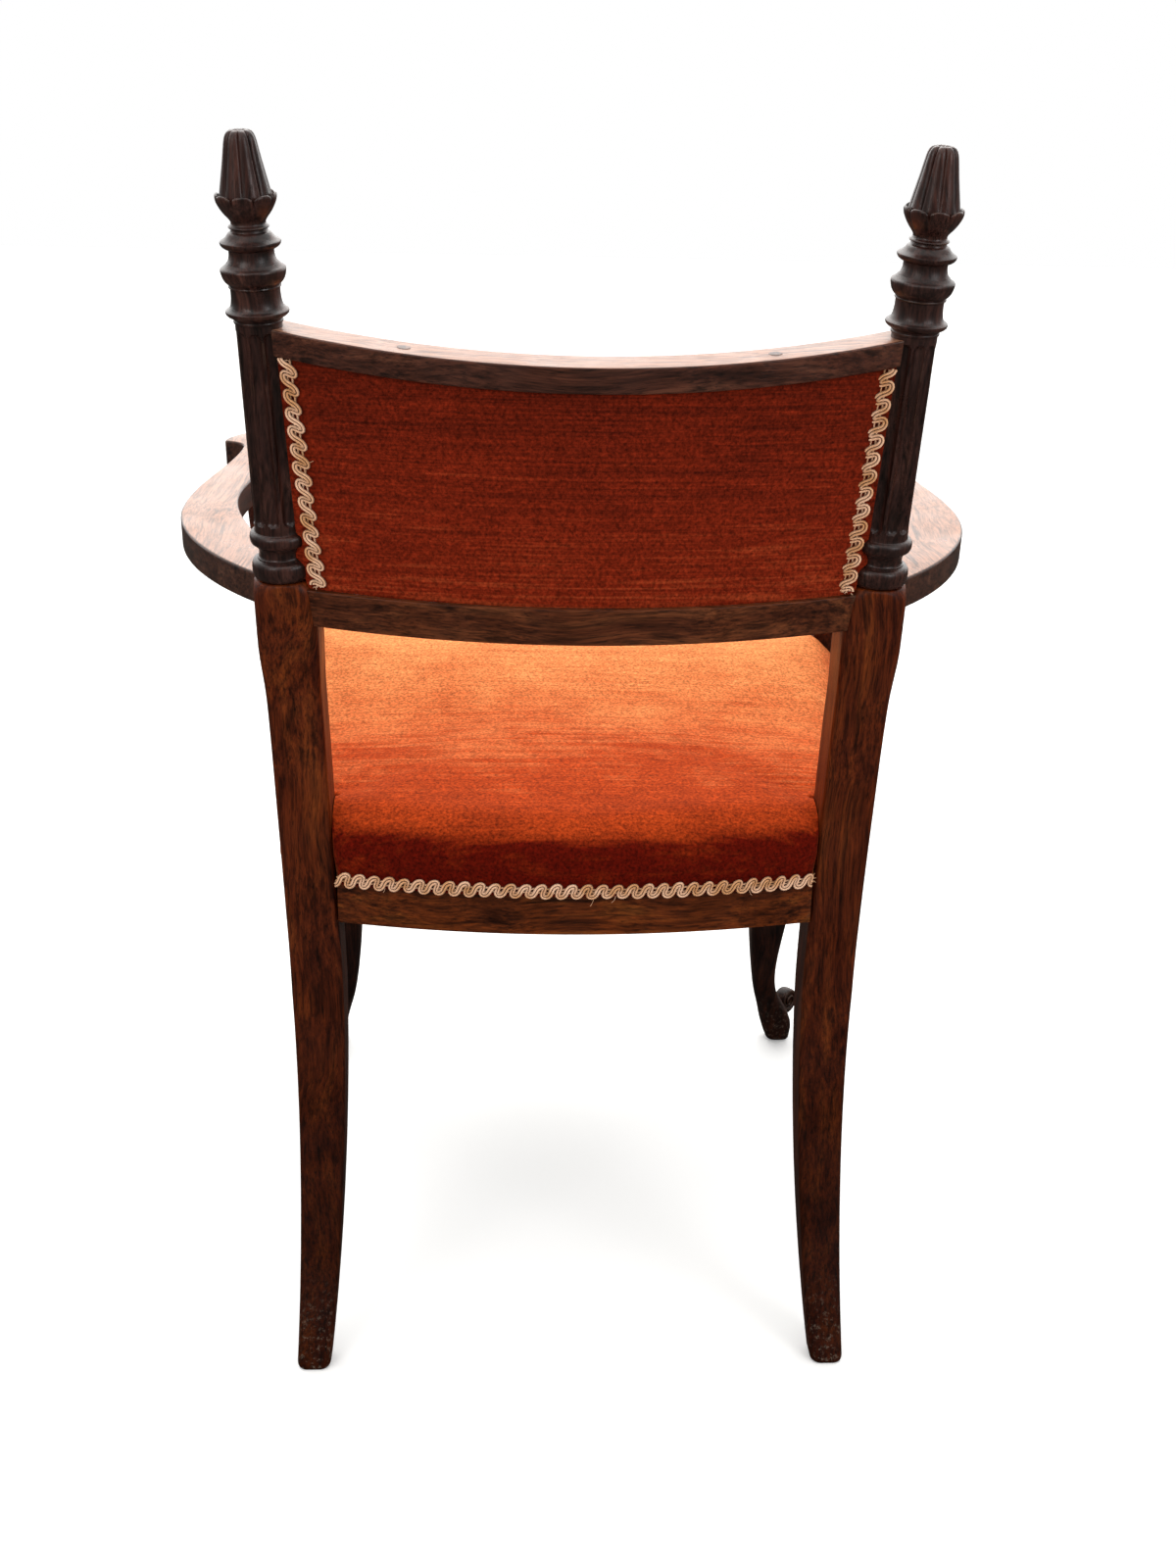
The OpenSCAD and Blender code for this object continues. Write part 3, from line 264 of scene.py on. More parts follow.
def scaled(tree, vector, factor):
    """A colour or a place times a factor."""
    return add(tree, "VectorMath", {0: vector, 3: factor}, operation="SCALE").outputs[0]


def shaded(tree, share, *stops):
    """A colour by a value, from stops of place and colour."""
    ramp = add(tree, "ValToRGB", {"Fac": share})
    for element, (place, colour) in zip(ramp.color_ramp.elements, (stops[0], stops[-1])):
        element.position, element.color = place, (*colour, 1)
    for place, colour in stops[1:-1]:
        ramp.color_ramp.elements.new(place).color = (*colour, 1)
    return ramp.outputs["Color"]


def blended(tree, share, under, over):
    """One colour laid over another by a share."""
    return add(tree, "Mix", {"Factor": share, 6: under, 7: over}, data_type="RGBA").outputs[2]


def relieved(tree, shader, height, strength, distance):
    """Fine relief from a value."""
    bump = add(tree, "Bump", {"Height": height, "Strength": strength, "Distance": distance})
    fill(tree, shader, {"Normal": bump.outputs[0]})


def rosewood(name, grain, dark, mid, light, gloss=0.40, worn=0.5, shift=0.0, shine=0.25, painted_top_glare=0.0,
             leg=False):
    """Rosewood with its figure along one axis: broad bands, black streaks, fine lines and pores. It may
    have pale worn edges, a top face painted pale as a painted reflection of light grazing the polish, or grow
    darker towards the bottom with scuffs at the foot."""
    material, tree, shader = fresh(name)
    still = add(tree, "TexCoord").outputs["Object"]
    drift = add(tree, "TexNoise", {"Vector": still, "Scale": 6.0, "Detail": 2.0}).outputs["Color"]
    drift = scaled(tree, drift, 0.034)
    place = add(tree, "VectorMath", {0: still, 1: drift}, operation="ADD").outputs[0]
    place = add(tree, "VectorMath", {0: place, 1: (shift, shift * 0.7, shift * 1.3)},
                operation="ADD").outputs[0]

    def along(squeeze):
        """Object places drawn out along the grain."""
        scale = [1.0, 1.0, 1.0]
        scale["XYZ".index(grain)] = squeeze
        return add(tree, "Mapping", {"Vector": place, "Scale": scale}).outputs[0]

    def marks(squeeze, size, detail, low, high, to_low, to_high, distortion=0.0):
        """One layer of the figure, as it comes and as a tone."""
        made = noise(tree, along(squeeze), size, detail, Roughness=0.62, Distortion=distortion)
        return made, ranged(tree, made, low, high, to_low, to_high)

    def times(a, b):
        """Two tones together."""
        return worked(tree, "MULTIPLY", a, b)

    bands, _ = marks(0.07, 62.0, 5.0, 0, 1, 0, 1, 0.6)
    colour = shaded(tree, bands, (0.32, dark), (0.5, mid), (0.72, light))
    _, black = marks(0.04, 150.0, 3.0, 0.34, 0.44, 0.42, 1.0, 0.3)
    lines, lines_tone = marks(0.04, 480.0, 4.0, 0.34, 0.64, 0.42, 1.52)
    _, pores = marks(0.07, 1100.0, 1.0, 0.33, 0.42, 0.50, 1.0)
    _, fibres_tone = marks(0.03, 2300.0, 2.0, 0.3, 0.7, 0.80, 1.20)
    tone = times(times(black, lines_tone), times(pores, fibres_tone))
    # Darker towards the bottom, from under the seat down to the foot.
    if leg:
        height = add(tree, "SeparateXYZ", {"Vector": still}).outputs["Z"]
        tone = times(tone, ranged(tree, height, 0.12, 0.46, 0.35, 1.0))
    body = scaled(tree, colour, tone)
    # Where asked, the top face is painted pale, keeping its grain lines: a painted reflection of the light
    # grazing the polish.
    if painted_top_glare > 0:
        top = add(tree, "SeparateXYZ", {"Vector": add(tree, "NewGeometry").outputs["Normal"]}).outputs["Z"]
        top = ranged(tree, top, 0.80, 0.95, 0.0, painted_top_glare)
        pale = worked(tree, "POWER", times(lines_tone, pores), 0.75)
        pale = scaled(tree, (0.335, 0.150, 0.083), times(pale, black))
        body = blended(tree, top, body, pale)
    edge = ranged(tree, add(tree, "NewGeometry").outputs["Pointiness"], 0.53, 0.62)
    patches = ranged(tree, noise(tree, place, 60.0, 4.0, Roughness=0.7), 0.50, 0.62, 0.0, worn)
    colour = blended(tree, times(edge, patches), body, (0.24, 0.125, 0.070, 1))
    if leg:
        scuffs = ranged(tree, noise(tree, still, 260.0, 3.0, Roughness=0.75), 0.56, 0.66)
        low = ranged(tree, height, 0.075, 0.004, 0.0, 0.75)
        colour = blended(tree, times(scuffs, low), colour, (0.16, 0.115, 0.085, 1))
    rough = ranged(tree, noise(tree, place, 26.0, 4.0), 0.3, 0.7, gloss - 0.05, gloss + 0.10)
    fill(tree, shader, {"Base Color": colour, "Roughness": rough, "Specular IOR Level": shine})
    relieved(tree, shader, worked(tree, "ADD", lines, pores), 0.30, 0.0004)
    return material


def dress(piece, slot, *nodes):
    """Says what a piece moves with and which nodes it stands for, and hides those nodes. The slot, saying
    what it is made of, is not used.
    """
    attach(piece, "root")
    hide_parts(*nodes)


def finish_wood(piece, material, *nodes, slot="rosewood"):
    """Gives a wooden piece its finish."""
    piece.data.materials.clear()
    piece.data.materials.append(material)
    dress(piece, slot, *nodes)


def finish_pair(left, material, node, slot="rosewood"):
    """Finishes a piece of the sitter's left and a twin of it for the right."""
    right = other_side(left, left.name.replace("left", "right"))
    finish_wood(left, material, node + "_left", slot=slot)
    finish_wood(right, material, node + "_right", slot=slot)


post_wood = rosewood("post_rosewood", "Z", (0.040, 0.0055, 0.0012), (0.096, 0.0150, 0.0020),
                     (0.165, 0.034, 0.0045), shine=0.14, leg=True)
turned_wood = rosewood("turned_rosewood", "Z", (0.015, 0.0064, 0.0048), (0.034, 0.0115, 0.0084),
                       (0.074, 0.027, 0.0185), gloss=0.30, worn=0.8, shift=0.4, shine=0.42)

mid_x = np.concatenate([cubic([[214, 0], [206, 110], [206, 240], [212.5, 363]]),
                        cubic([[212.5, 363], [216.8, 458], [218.6, 554], [223, 677]])[1:]])
mid_y = np.concatenate([cubic([[297, 0], [233, 130], [191, 270], [191, 400]]),
                        cubic([[191, 400], [191, 490], [202.67, 564], [221.74, 677]])[1:]])


def rounded_square(half, corner, count=96):
    """Points of a square with rounded corners, closer together at the corners."""
    flat = half - corner
    made = []
    for step in range(count):
        turn = 2 * math.pi * step / count
        turn += 0.13 * math.sin(4 * turn)
        c, s = abs(math.cos(turn)), abs(math.sin(turn))
        if flat <= 0:
            reach = half
        elif s / max(c, 1e-9) * half <= flat:
            reach = half / c
        elif c / max(s, 1e-9) * half <= flat:
            reach = half / s
        else:
            reach = flat * (c + s) + math.sqrt(max(0.0, corner ** 2 - flat ** 2 * (2 - (c + s) ** 2)))
        made.append((reach * math.cos(turn), reach * math.sin(turn)))
    return made


POST_HALF = 23.0


def round_reach(below):
    """Half width over the corners, which the lathe rounded near the joint line."""
    return float(np.interp(below, [0, 3, 6, 10, 42, 90, 91], [22.6, 24.2, 26.2, 27.2, 29.6, 32.8, 99]))


def post_ring(z, shrink=0.0):
    """The plain post's section at a height."""
    half = 13.5 + 7.5 * min(1.0, z / 300) ** 0.8 + 2 * ease((z - 549) / 60)
    widest = round_reach(JOINT_Z - z)
    corner = (half * math.sqrt(2) - widest) / (math.sqrt(2) - 1)
    least = 4.2 + 3.3 * (1 - ease(z / 150))
    corner = min(half, max(least, corner))
    if corner >= half - 0.05:
        half = corner = min(half, widest)
    half, corner = half - shrink, corner - shrink * 0.5
    turn = ease((z - 460) / 150)
    cx, cy = np.interp(z, mid_x[:, 1], mid_x[:, 0]), np.interp(z, mid_y[:, 1], mid_y[:, 0])
    axis = on_post(0, 0, z - JOINT_Z)
    cx, cy = cx + (axis[0] - cx) * turn, cy + (axis[1] - cy) * turn
    ring = []
    for x, y in rounded_square(half, corner):
        ring.append((cx + x * math.cos(LEAN * turn), cy + y * math.cos(RAKE * turn),
                     z - x * math.sin(LEAN * turn) - y * math.sin(RAKE * turn)))
    return ring


heights = [(0, 3.4), (0.5, 2.0), (1.4, 1.0), (2.8, 0.35), (5, 0)]
heights += [(z, 0) for z in np.linspace(14, 634, 72)]
heights += [(JOINT_Z - 8, 0), (JOINT_Z - 4, 0), (JOINT_Z - 2, 0.1), (JOINT_Z - 1, 0.5), (JOINT_Z - 0.35, 1.5)]
plain_left = lofted("plain_post", [post_ring(z, shrink) for z, shrink in heights])

# Back posts, turned part.
# The same length is turned above the joint line: two lower rings, a tapered column with ten flutes,
# a collar, a vase-shaped neck, the big ring and the small ring that carries the finial.
side_outline = [
    (0, 0.25), (20.4, 0.25), (21.6, 0.7), (22.4, 1.7), (22.9, 3.2), (23.2, 5.4), (23.25, 8.0),
    (23.1, 10.4), (22.6, 12.2), (21.7, 13.6), (20.4, 14.4), (19.2, 14.7), (18.7, 15.0), (18.6, 15.9),
    (18.2, 16.1), (17.6, 16.6), (17.2, 17.8), (17.1, 19.6), (17.2, 21.2), (17.6, 22.8), (18.3, 24.2),
    (18.7, 24.6), (18.7, 25.4), (19.3, 25.7), (20.6, 26.2), (21.8, 27.2), (22.5, 28.6), (22.8, 30.4),
    (22.75, 32.2), (22.3, 33.8), (21.4, 35.1), (20.2, 35.8), (19.3, 36.1), (18.9, 36.5), (18.8, 37.2),
    (18.6, 38.0)]
flute_low, flute_high = 46.5, 177.5
side_outline += [(18.6 - 2.4 * (s - 37) / 150, s) for s in
                 [*np.linspace(39.5, 52, 15), *np.linspace(56, 168, 17), *np.linspace(172, 184.5, 15)]]
side_outline += [
    (16.2, 186.6), (16.9, 187.0), (17.2, 187.8), (17.0, 188.7), (16.6, 189.1), (16.7, 189.8),
    (17.6, 190.4), (19.2, 191.1), (20.6, 192.0), (21.5, 193.0), (21.85, 194.1), (21.7, 195.0),
    (21.1, 195.5), (20.0, 196.0), (18.9, 196.9), (18.1, 198.2), (17.6, 199.8), (17.2, 202.2),
    (16.95, 205.0), (16.9, 208.0), (17.0, 210.2), (17.3, 210.6), (17.9, 210.9), (18.1, 211.5),
    (17.9, 212.1), (17.5, 212.4), (17.6, 212.9), (18.6, 213.5), (19.8, 214.7), (20.9, 216.4),
    (21.7, 218.6), (22.2, 220.8), (22.4, 222.4), (22.2, 223.3), (21.6, 223.9), (20.6, 224.4),
    (19.4, 225.2), (18.4, 226.3), (18.0, 226.7), (17.5, 226.6), (17.2, 227.2), (16.4, 228.6),
    (15.8, 230.4), (15.4, 232.4), (15.3, 234.4), (15.5, 235.6), (16.4, 236.2), (18.0, 236.9),
    (19.4, 237.9), (20.3, 239.1), (20.6, 240.3), (20.35, 241.1), (19.6, 241.6), (18.2, 242.3),
    (16.8, 243.4), (15.6, 244.8), (14.7, 246.2), (13.6, 247.0), (12.6, 247.5), (12.3, 248.3),
    (12.2, 249.2), (0, 249.2)]


def spun(name, outline, steps):
    """Turned work: one point is drawn out along the outline, which is spun about the middle line."""
    bpy.ops.object.select_all(action="DESELECT")
    bpy.ops.mesh.primitive_plane_add(size=0.001)
    piece = bpy.context.object
    piece.name = piece.data.name = name
    open_mesh()
    bpy.ops.mesh.merge(type="CENTER")
    bpy.ops.transform.translate(value=(outline[0][0] * MM, 0, outline[0][1] * MM))
    for (r0, s0), (r1, s1) in zip(outline, outline[1:]):
        step = ((r1 - r0) * MM, 0, (s1 - s0) * MM)
        bpy.ops.mesh.extrude_vertices_move(TRANSFORM_OT_translate={"value": step})
    bpy.ops.mesh.select_all(action="SELECT")
    bpy.ops.mesh.spin(steps=steps, angle=2 * math.pi, center=(0, 0, 0), axis=(0, 0, 1))
    bpy.ops.mesh.select_all(action="SELECT")
    bpy.ops.mesh.remove_doubles(threshold=0.000005)
    face_out()
    return piece


turned_left = spun("turned_post", side_outline, 160)
for point in turned_left.data.vertices:
    x, y, s = point.co.x / MM, point.co.y / MM, point.co.z / MM
    radius = math.hypot(x, y)
    if 38 < s < 186 and radius > 5:
        share = (math.atan2(y, x) / (2 * math.pi) * 10 - 0.35) % 1.0
        off = (min(share, 1 - share)) * 2 * math.pi * radius / 10
        past = max(0.0, flute_low - s, s - flute_high)
        near = math.hypot(off, past) / 4.2
        if near < 1:
            radius_new = radius - 3.1 * math.sqrt(1 - near ** 2) ** 0.9
            point.co.x, point.co.y = x * radius_new / radius * MM, y * radius_new / radius * MM
bpy.ops.object.shade_smooth_by_angle(angle=math.radians(34))
origin, across, rearward, upward = (Vector(on_post(*p)) for p in ((0, 0, 0), (1, 0, 0), (0, 1, 0), (0, 0, 1)))
across, rearward, upward = across - origin, rearward - origin, upward - origin
post_frame = Matrix.Translation(origin * MM) @ Matrix((across, rearward, upward)).transposed().to_4x4()
turned_left.data.transform(post_frame)
plain_left.data.materials.append(post_wood)
turned_left.data.materials.append(turned_wood)
post_left = joined("back_post_sitters_left", plain_left, turned_left)
post_right = other_side(post_left, "back_post_sitters_right")
dress(post_left, "rosewood", "back_post_left")
dress(post_right, "rosewood", "back_post_right")

# Finials.
# A turned and carved rosewood bud on each post: a thin fillet, a cup of eight round petals whose rims
# stand proud, and a tall head with eight ribs. A spigot below holds it in the post.
calyx = [(0, -22), (6.4, -22), (7, -21.4), (7, -0.1), (12.2, 0.05), (13.4, 0.35), (13.9, 1.0), (13.5, 1.7),
         (12.6, 2.2), (11.9, 2.9), (11.7, 3.8), (11.9, 4.8), (12.6, 6.0), (13.8, 7.6), (15.2, 9.3),
         (16.6, 11.3), (17.9, 13.5), (19.0, 15.7), (19.8, 17.7), (20.2, 19.4), (20.35, 20.8), (20.3, 21.8),
         (20.0, 22.5), (19.5, 22.7), (19.0, 22.4), (18.7, 21.6), (18.3, 20.6)]
bud = [(17.7, 19.4), (17.4, 20.4), (17.1, 22.2), (16.5, 25.5), (15.7, 29.5), (14.8, 34), (13.9, 38.5),
       (13.0, 43), (12.2, 47.5), (11.5, 51.5), (10.9, 54.8), (10.3, 57.3), (9.5, 59.3), (8.3, 60.9),
       (6.7, 61.8), (4.8, 62.0), (3.0, 61.5), (1.4, 60.8), (0, 60.6)]
finial_rings = []
for order, (radius, height) in enumerate(calyx + bud):
    ring = []
    for step in range(144):
        turn = 2 * math.pi * step / 144
        share = (step / 18.0 + 0.5) % 1.0
        valley = min(share, 1 - share)
        r, z = radius, height
        if 11 <= order < len(calyx) + 1:
            lift = min(1.0, (order - 11) / 8.0)
            scallop = 4.4 * (1 - math.sqrt(max(0.0, 1 - (2 * abs(0.5 - valley)) ** 2.6)))
            z = height - scallop * max(0.0, (height - 6.0) / 16.5)
            r = radius + lift * (0.25 - 1.9 * math.exp(-(valley / 0.075) ** 2))
        elif order > len(calyx):
            rib = abs(math.sin(math.pi * (share + 0.5)))
            deep = np.interp(height, [19, 24, 45, 58, 62], [0.05, 0.10, 0.13, 0.20, 0.34])
            r = radius * (1 + 0.02 - deep * (1 - rib ** 0.55))
        ring.append((r * math.cos(turn), r * math.sin(turn), z))
    finial_rings.append(ring)
finial_left = lofted("finial_sitters_left", finial_rings, angle=50)
quarter_turn = Matrix.Rotation(math.radians(90), 4, "Z")
finial_left.data.transform(post_frame @ Matrix.Translation((0, 0, 249.3 * MM)) @ quarter_turn)
finish_pair(finial_left, turned_wood, "finial", slot="dark_rosewood")

# Rails of the back.
# Two rosewood rails bent to the rear on one bow, tenoned into the turned posts. The top one also dips,
# and two round pellets close the holes in its top face. Edges are eased by hand and rubbed pale.


def column_reach(s):
    """Radius of the turned post at s above the joint line."""
    radii, places = zip(*side_outline)
    return float(np.interp(s, places[1:], radii[1:]))


def post_side(v, w, gap=0.1):
    """Where the inner side of the left post lies at a point of the raked back: round above the joint line,
    square with rounded corners below it."""
    axis = JOINT_X + w * math.tan(LEAN)
    if w > 0:
        return axis - math.sqrt(max(0.0, (column_reach(w) + gap) ** 2 - v ** 2))
    half = POST_HALF + gap
    corner = (POST_HALF * math.sqrt(2) - round_reach(-w)) / (math.sqrt(2) - 1)
    corner = min(corner, POST_HALF)
    past = max(0.0, abs(v) - (half - corner))
    return axis - (half - corner) - math.sqrt(max(0.0, corner ** 2 - past ** 2))


BACK_BOW, TOP_DIP = 38.0, 13.0


def bow(x):
    """How far the back stands to the rear at x."""
    return BACK_BOW * (1 - (x / JOINT_X) ** 2)


def bow_slope(x):
    """How the bow turns at x."""
    return -2 * BACK_BOW * x / JOINT_X ** 2


def meets_post(v, w, gap=0.1):
    """Half length of a bowed layer at depth v and height w, out to the post's own round side."""
    x = 210.0
    for _ in range(30):
        x = 0.5 * x + 0.5 * post_side(min(v + bow(x), column_reach(w) - 0.05 if w > 0 else 22.9), w, gap)
    return x


def dip(x):
    """How far the top rail hangs at x."""
    return TOP_DIP * (1 - (x / JOINT_X) ** 2)


def rounded_bar(deep, tall, corner, arc=5, flats=5):
    """Section of a bar from its rear lower edge: points round it with eased corners."""
    made = []
    for cx, cy, start in ((-corner, corner, 270), (-corner, tall - corner, 0),
                          (corner - deep, tall - corner, 90), (corner - deep, corner, 180)):
        for step in range(arc + 1):
            a = math.radians(start + 90 * step / arc)
            made.append((cx + corner * math.cos(a), cy + corner * math.sin(a)))
    whole = []
    for index, point in enumerate(made):
        whole.append(point)
        if index % (arc + 1) == arc:
            after = made[(index + 1) % len(made)]
            for k in range(1, flats):
                whole.append((point[0] + (after[0] - point[0]) * k / flats,
                              point[1] + (after[1] - point[1]) * k / flats))
    return whole


def back_rail(name, rear, low, tall, deep, dips, corner):
    """A bowed rail between the posts, each line of it ending on the post's own side."""
    section = rounded_bar(deep, tall, corner)
    rings = []
    for step in range(81):
        share = -1 + 2 * step / 80
        ring = []
        for a, b in section:
            v0, w0 = rear + a, low + b
            x = share * meets_post(v0, w0)
            ring.append(raked(x, v0 + bow(x), w0 - (dip(x) if dips else 0)))
        rings.append(ring)
    return lofted(name, rings)


# The top rail's top face is painted pale: a painted reflection of the light on its polish.
rail_wood = rosewood("rail_rosewood", "X", (0.028, 0.0078, 0.0040), (0.072, 0.0205, 0.0105),
                     (0.130, 0.044, 0.022), gloss=0.34, worn=1.0, shift=1.3, shine=0.4, painted_top_glare=1.0)
lower_wood = rosewood("lower_rail_rosewood", "X", (0.050, 0.0110, 0.0034), (0.094, 0.0230, 0.0070),
                      (0.142, 0.041, 0.0130), worn=0.7, shift=2.9, shine=0.16)
top_rail = back_rail("top_back_rail", 12.0, 166.5, 18.5, 31.0, True, 1.3)
finish_wood(top_rail, rail_wood, "top_rail")
low_rail = back_rail("bowed_lower_rail", 13.5, -33.5, 28.5, 22.0, False, 1.2)
finish_wood(low_rail, lower_wood, "lower_back_rail")

PELLET_X = 128
pellets = []
for side in (-1, 1):
    disc = spun("pellet", [(0, -6), (4.7, -6), (4.95, -5.6), (4.95, -0.05), (4.8, 0.2), (4.4, 0.34),
                           (2.6, 0.42), (0, 0.44)], 40)
    bpy.ops.object.shade_smooth_by_angle(angle=math.radians(34))
    tilt = math.atan(2 * TOP_DIP * PELLET_X / JOINT_X ** 2) * -side
    seat = Vector(raked(side * PELLET_X, 12.0 - 15.5 + bow(PELLET_X), 185.0 - dip(PELLET_X))) * MM
    laid = Matrix.Rotation(-RAKE, 4, "X") @ Matrix.Rotation(tilt, 4, "Y")
    disc.data.transform(Matrix.Translation(seat) @ laid)
    pellets.append(disc)
finish_wood(joined("rail_pellets", *pellets),
            rosewood("pellet_rosewood", "Y", (0.05, 0.020, 0.012), (0.10, 0.040, 0.024),
            (0.16, 0.070, 0.040), worn=1.0, shift=4.0, shine=0.5), "top_rail_pellets", slot="dark_rosewood")

# Seat rails.
# Four rails, 62 mm tall, tenoned into the posts and the front leg blocks. The rear and the front one bow
# outwards. The rear one shows a lighter, browner figure than the posts.
seat_wood = rosewood("seat_rail_rosewood", "X", (0.040, 0.0075, 0.0012), (0.125, 0.0240, 0.0030),
                     (0.220, 0.062, 0.0090), worn=0.6, shift=5.1, shine=0.14)
side_wood = rosewood("side_rail_rosewood", "Y", (0.034, 0.0065, 0.0014), (0.110, 0.0215, 0.0036),
                     (0.195, 0.055, 0.0100), worn=0.6, shift=6.3, shine=0.16)
FRONT_Y, FRONT_BOW, REAR_BOW, RAIL_LOW, RAIL_TALL = -291, 14, 30, 363.0, 62.0


def side_x(y):
    """Half width of the seat frame's outside at y."""
    return 230.5 + (209 - y) / 454 * 59.5


def back_y(x):
    """The rear of the seat frame at x."""
    return 209 + REAR_BOW * max(0.0, 1 - (x / 212.5) ** 2)


def front_y(x):
    """The front of the seat frame at x."""
    return FRONT_Y - FRONT_BOW * max(0.0, 1 - (x / 244.0) ** 2)


def seat_rail(name, from_point, to_point, bulge, thick, outward):
    """A rail between two points of its outer face; outward is +1 where the outside lies left of the way."""
    (x0, y0), (x1, y1) = from_point, to_point
    long = math.hypot(x1 - x0, y1 - y0)
    run, out = ((x1 - x0) / long, (y1 - y0) / long), (-(y1 - y0) / long * outward, (x1 - x0) / long * outward)
    section = rounded_bar(thick, RAIL_TALL, 1.2)
    rings = []
    for step in range(49):
        share = step / 48
        rise = bulge * (1 - (2 * share - 1) ** 2)
        x, y = x0 + run[0] * long * share, y0 + run[1] * long * share
        rings.append([(x + out[0] * (a + rise), y + out[1] * (a + rise), RAIL_LOW + b) for a, b in section])
    return lofted(name, rings)


half, rear_y = 191.3, back_y(191.3)
rear_rail = seat_rail("rear_seat_rail", (half, rear_y), (-half, rear_y), back_y(0) - rear_y, 26.0, -1)
finish_wood(rear_rail, seat_wood, "seat_rail_back")
half = 243.9
front_rail = seat_rail("front_seat_rail", (-half, FRONT_Y), (half, FRONT_Y), FRONT_BOW, 32.0, -1)
finish_wood(front_rail, seat_wood, "seat_rail_front")
left_rail = seat_rail("side_rail_sitters_left", (290, -244.9), (233.8, 184), 0.0, 26.0, -1)
finish_pair(left_rail, side_wood, "seat_rail")

# Front legs.
# Cabriole legs of rosewood, one piece with the square block that takes the seat rails. The knee swells
# outwards, the ankle draws in, and the toe carries a carved scroll that faces along the seat's diagonal.
leg_out = np.concatenate([np.array([[2, 0], [3, 3], [4, 20]], float),
                          cubic([[3, 30], [-5, 48], [-16.5, 58], [-20.5, 80]], 12),
                          cubic([[-21.5, 92], [-21.5, 115], [-16.5, 145], [-5.5, 205]], 12),
                          cubic([[-4.5, 208], [5.5, 245], [29, 265], [29, 312]], 16),
                          np.array([[28, 341], [23, 355], [23, 425]], float)])
leg_in = np.concatenate([np.array([[-21, 0], [-23, 3], [-30, 20], [-35, 42]], float),
                         cubic([[-41.5, 62], [-48.5, 96], [-51.5, 130], [-52.5, 160]], 12)[1:],
                         cubic([[-52.5, 165], [-43, 230], [-33, 300], [-24, 351]], 16)[1:],
                         np.array([[-23, 355], [-23, 425]], float)])
LEG_X, LEG_Y, BLOCK_TOP = 267, -268, 425.0


def leg_ring(z, shrink=0.0):
    """The leg's section at a height."""
    near = z + min(z, 11.0) * np.linspace(-1, 1, 9)
    outer, inner = (float(np.interp(near, side[:, 1], side[:, 0]).mean()) for side in (leg_out, leg_in))
    half, mid = (outer - inner) / 2 - shrink, (outer + inner) / 2
    corner = 1.4 + (min(half * 0.62, 9.0) - 1.4) * (1 - ease((z - 330) / 22))
    return [(LEG_X + mid + x, LEG_Y - mid + y, z) for x, y in rounded_square(half, corner, 80)]


leg_heights = [(0, 3.0), (0.6, 1.6), (1.8, 0.6), (3.5, 0)] + [(z, 0) for z in np.linspace(6, 352, 84)]
leg_heights += [(355, 0), (358, 0), (390, 0), (419, 0), (422, 0.6), (424, 2.0), (BLOCK_TOP, 4.6)]
leg_left = lofted("front_leg_sitters_left", [leg_ring(z, shrink) for z, shrink in leg_heights])
leg_wood = rosewood("leg_rosewood", "Z", (0.017, 0.0036, 0.0019), (0.058, 0.0106, 0.0034),
                    (0.118, 0.028, 0.0075), worn=0.7, shift=7.7, leg=True)
SCROLL_R = 16.4
scroll_rings = []
for step in range(145):
    turn = math.radians(-118 + 760 * step / 144)
    grow = 1 - 0.84 * (step / 144) ** 1.15
    thick = 3.1 * max(0.40, grow)
    centre = ((SCROLL_R - thick) * grow * math.cos(turn), (SCROLL_R - thick) * grow * math.sin(turn))
    ring = []
    for side in range(16):
        a = 2 * math.pi * side / 16
        across_w = (6.8 + 2.0 * step / 144) * math.copysign(abs(math.cos(a)) ** 0.55, math.cos(a))
        ring.append((centre[0] + thick * math.sin(a) * math.cos(turn), across_w,
                     centre[1] + thick * math.sin(a) * math.sin(turn)))
    scroll_rings.append(ring)
scroll = lofted("toe_scroll", scroll_rings)
core = lofted("toe_scroll_core", [[(r * math.cos(a), side, r * math.sin(a))
                                   for a in np.linspace(0, 2 * math.pi, 48, endpoint=False)]
                                  for side, r in ((-5.6, 11.8), (-5.0, 13.0), (5.0, 13.0), (5.6, 11.8))])
on_diagonal = Matrix.Rotation(math.radians(-45), 4, "Z")
for part in (scroll, core):
    part.data.transform(Matrix.Translation((0.2654, -0.2664, 0.0435)) @ on_diagonal)
leg_left = joined("front_leg_sitters_left", leg_left, scroll, core)
finish_pair(leg_left, leg_wood, "front_leg")

# Arm supports.
# Swept supports, doweled to the leg blocks and to the undersides of the arms, leaning back and outwards.
support_x = cubic([[276.5, 425], [278.5, 505], [292, 573], [286, 675]])
support_y = cubic([[-268, 425], [-274, 520], [-136, 563], [-134, 675]])
ARM_RISE, ARM_THICK = math.radians(5.7), 25
half_wide, half_deep = 13.5, 16
support_rings = []
for step in range(61):
    share = step / 60
    ring = []
    for x, y in rounded_square(1.0, 0.34, 64):
        high = JOINT_Z + (JOINT_Y - (-134 + y * half_deep)) * math.tan(ARM_RISE)
        high = high - ARM_THICK / math.cos(ARM_RISE) - 0.1
        z = BLOCK_TOP + (high - BLOCK_TOP) * share
        middle = [np.interp(z, line[:, 1], line[:, 0]) for line in (support_x, support_y)]
        ring.append((middle[0] + x * half_wide, middle[1] + y * half_deep, z))
    support_rings.append(ring)
support_left = lofted("arm_support_sitters_left", support_rings)
finish_pair(support_left, leg_wood, "arm_support")

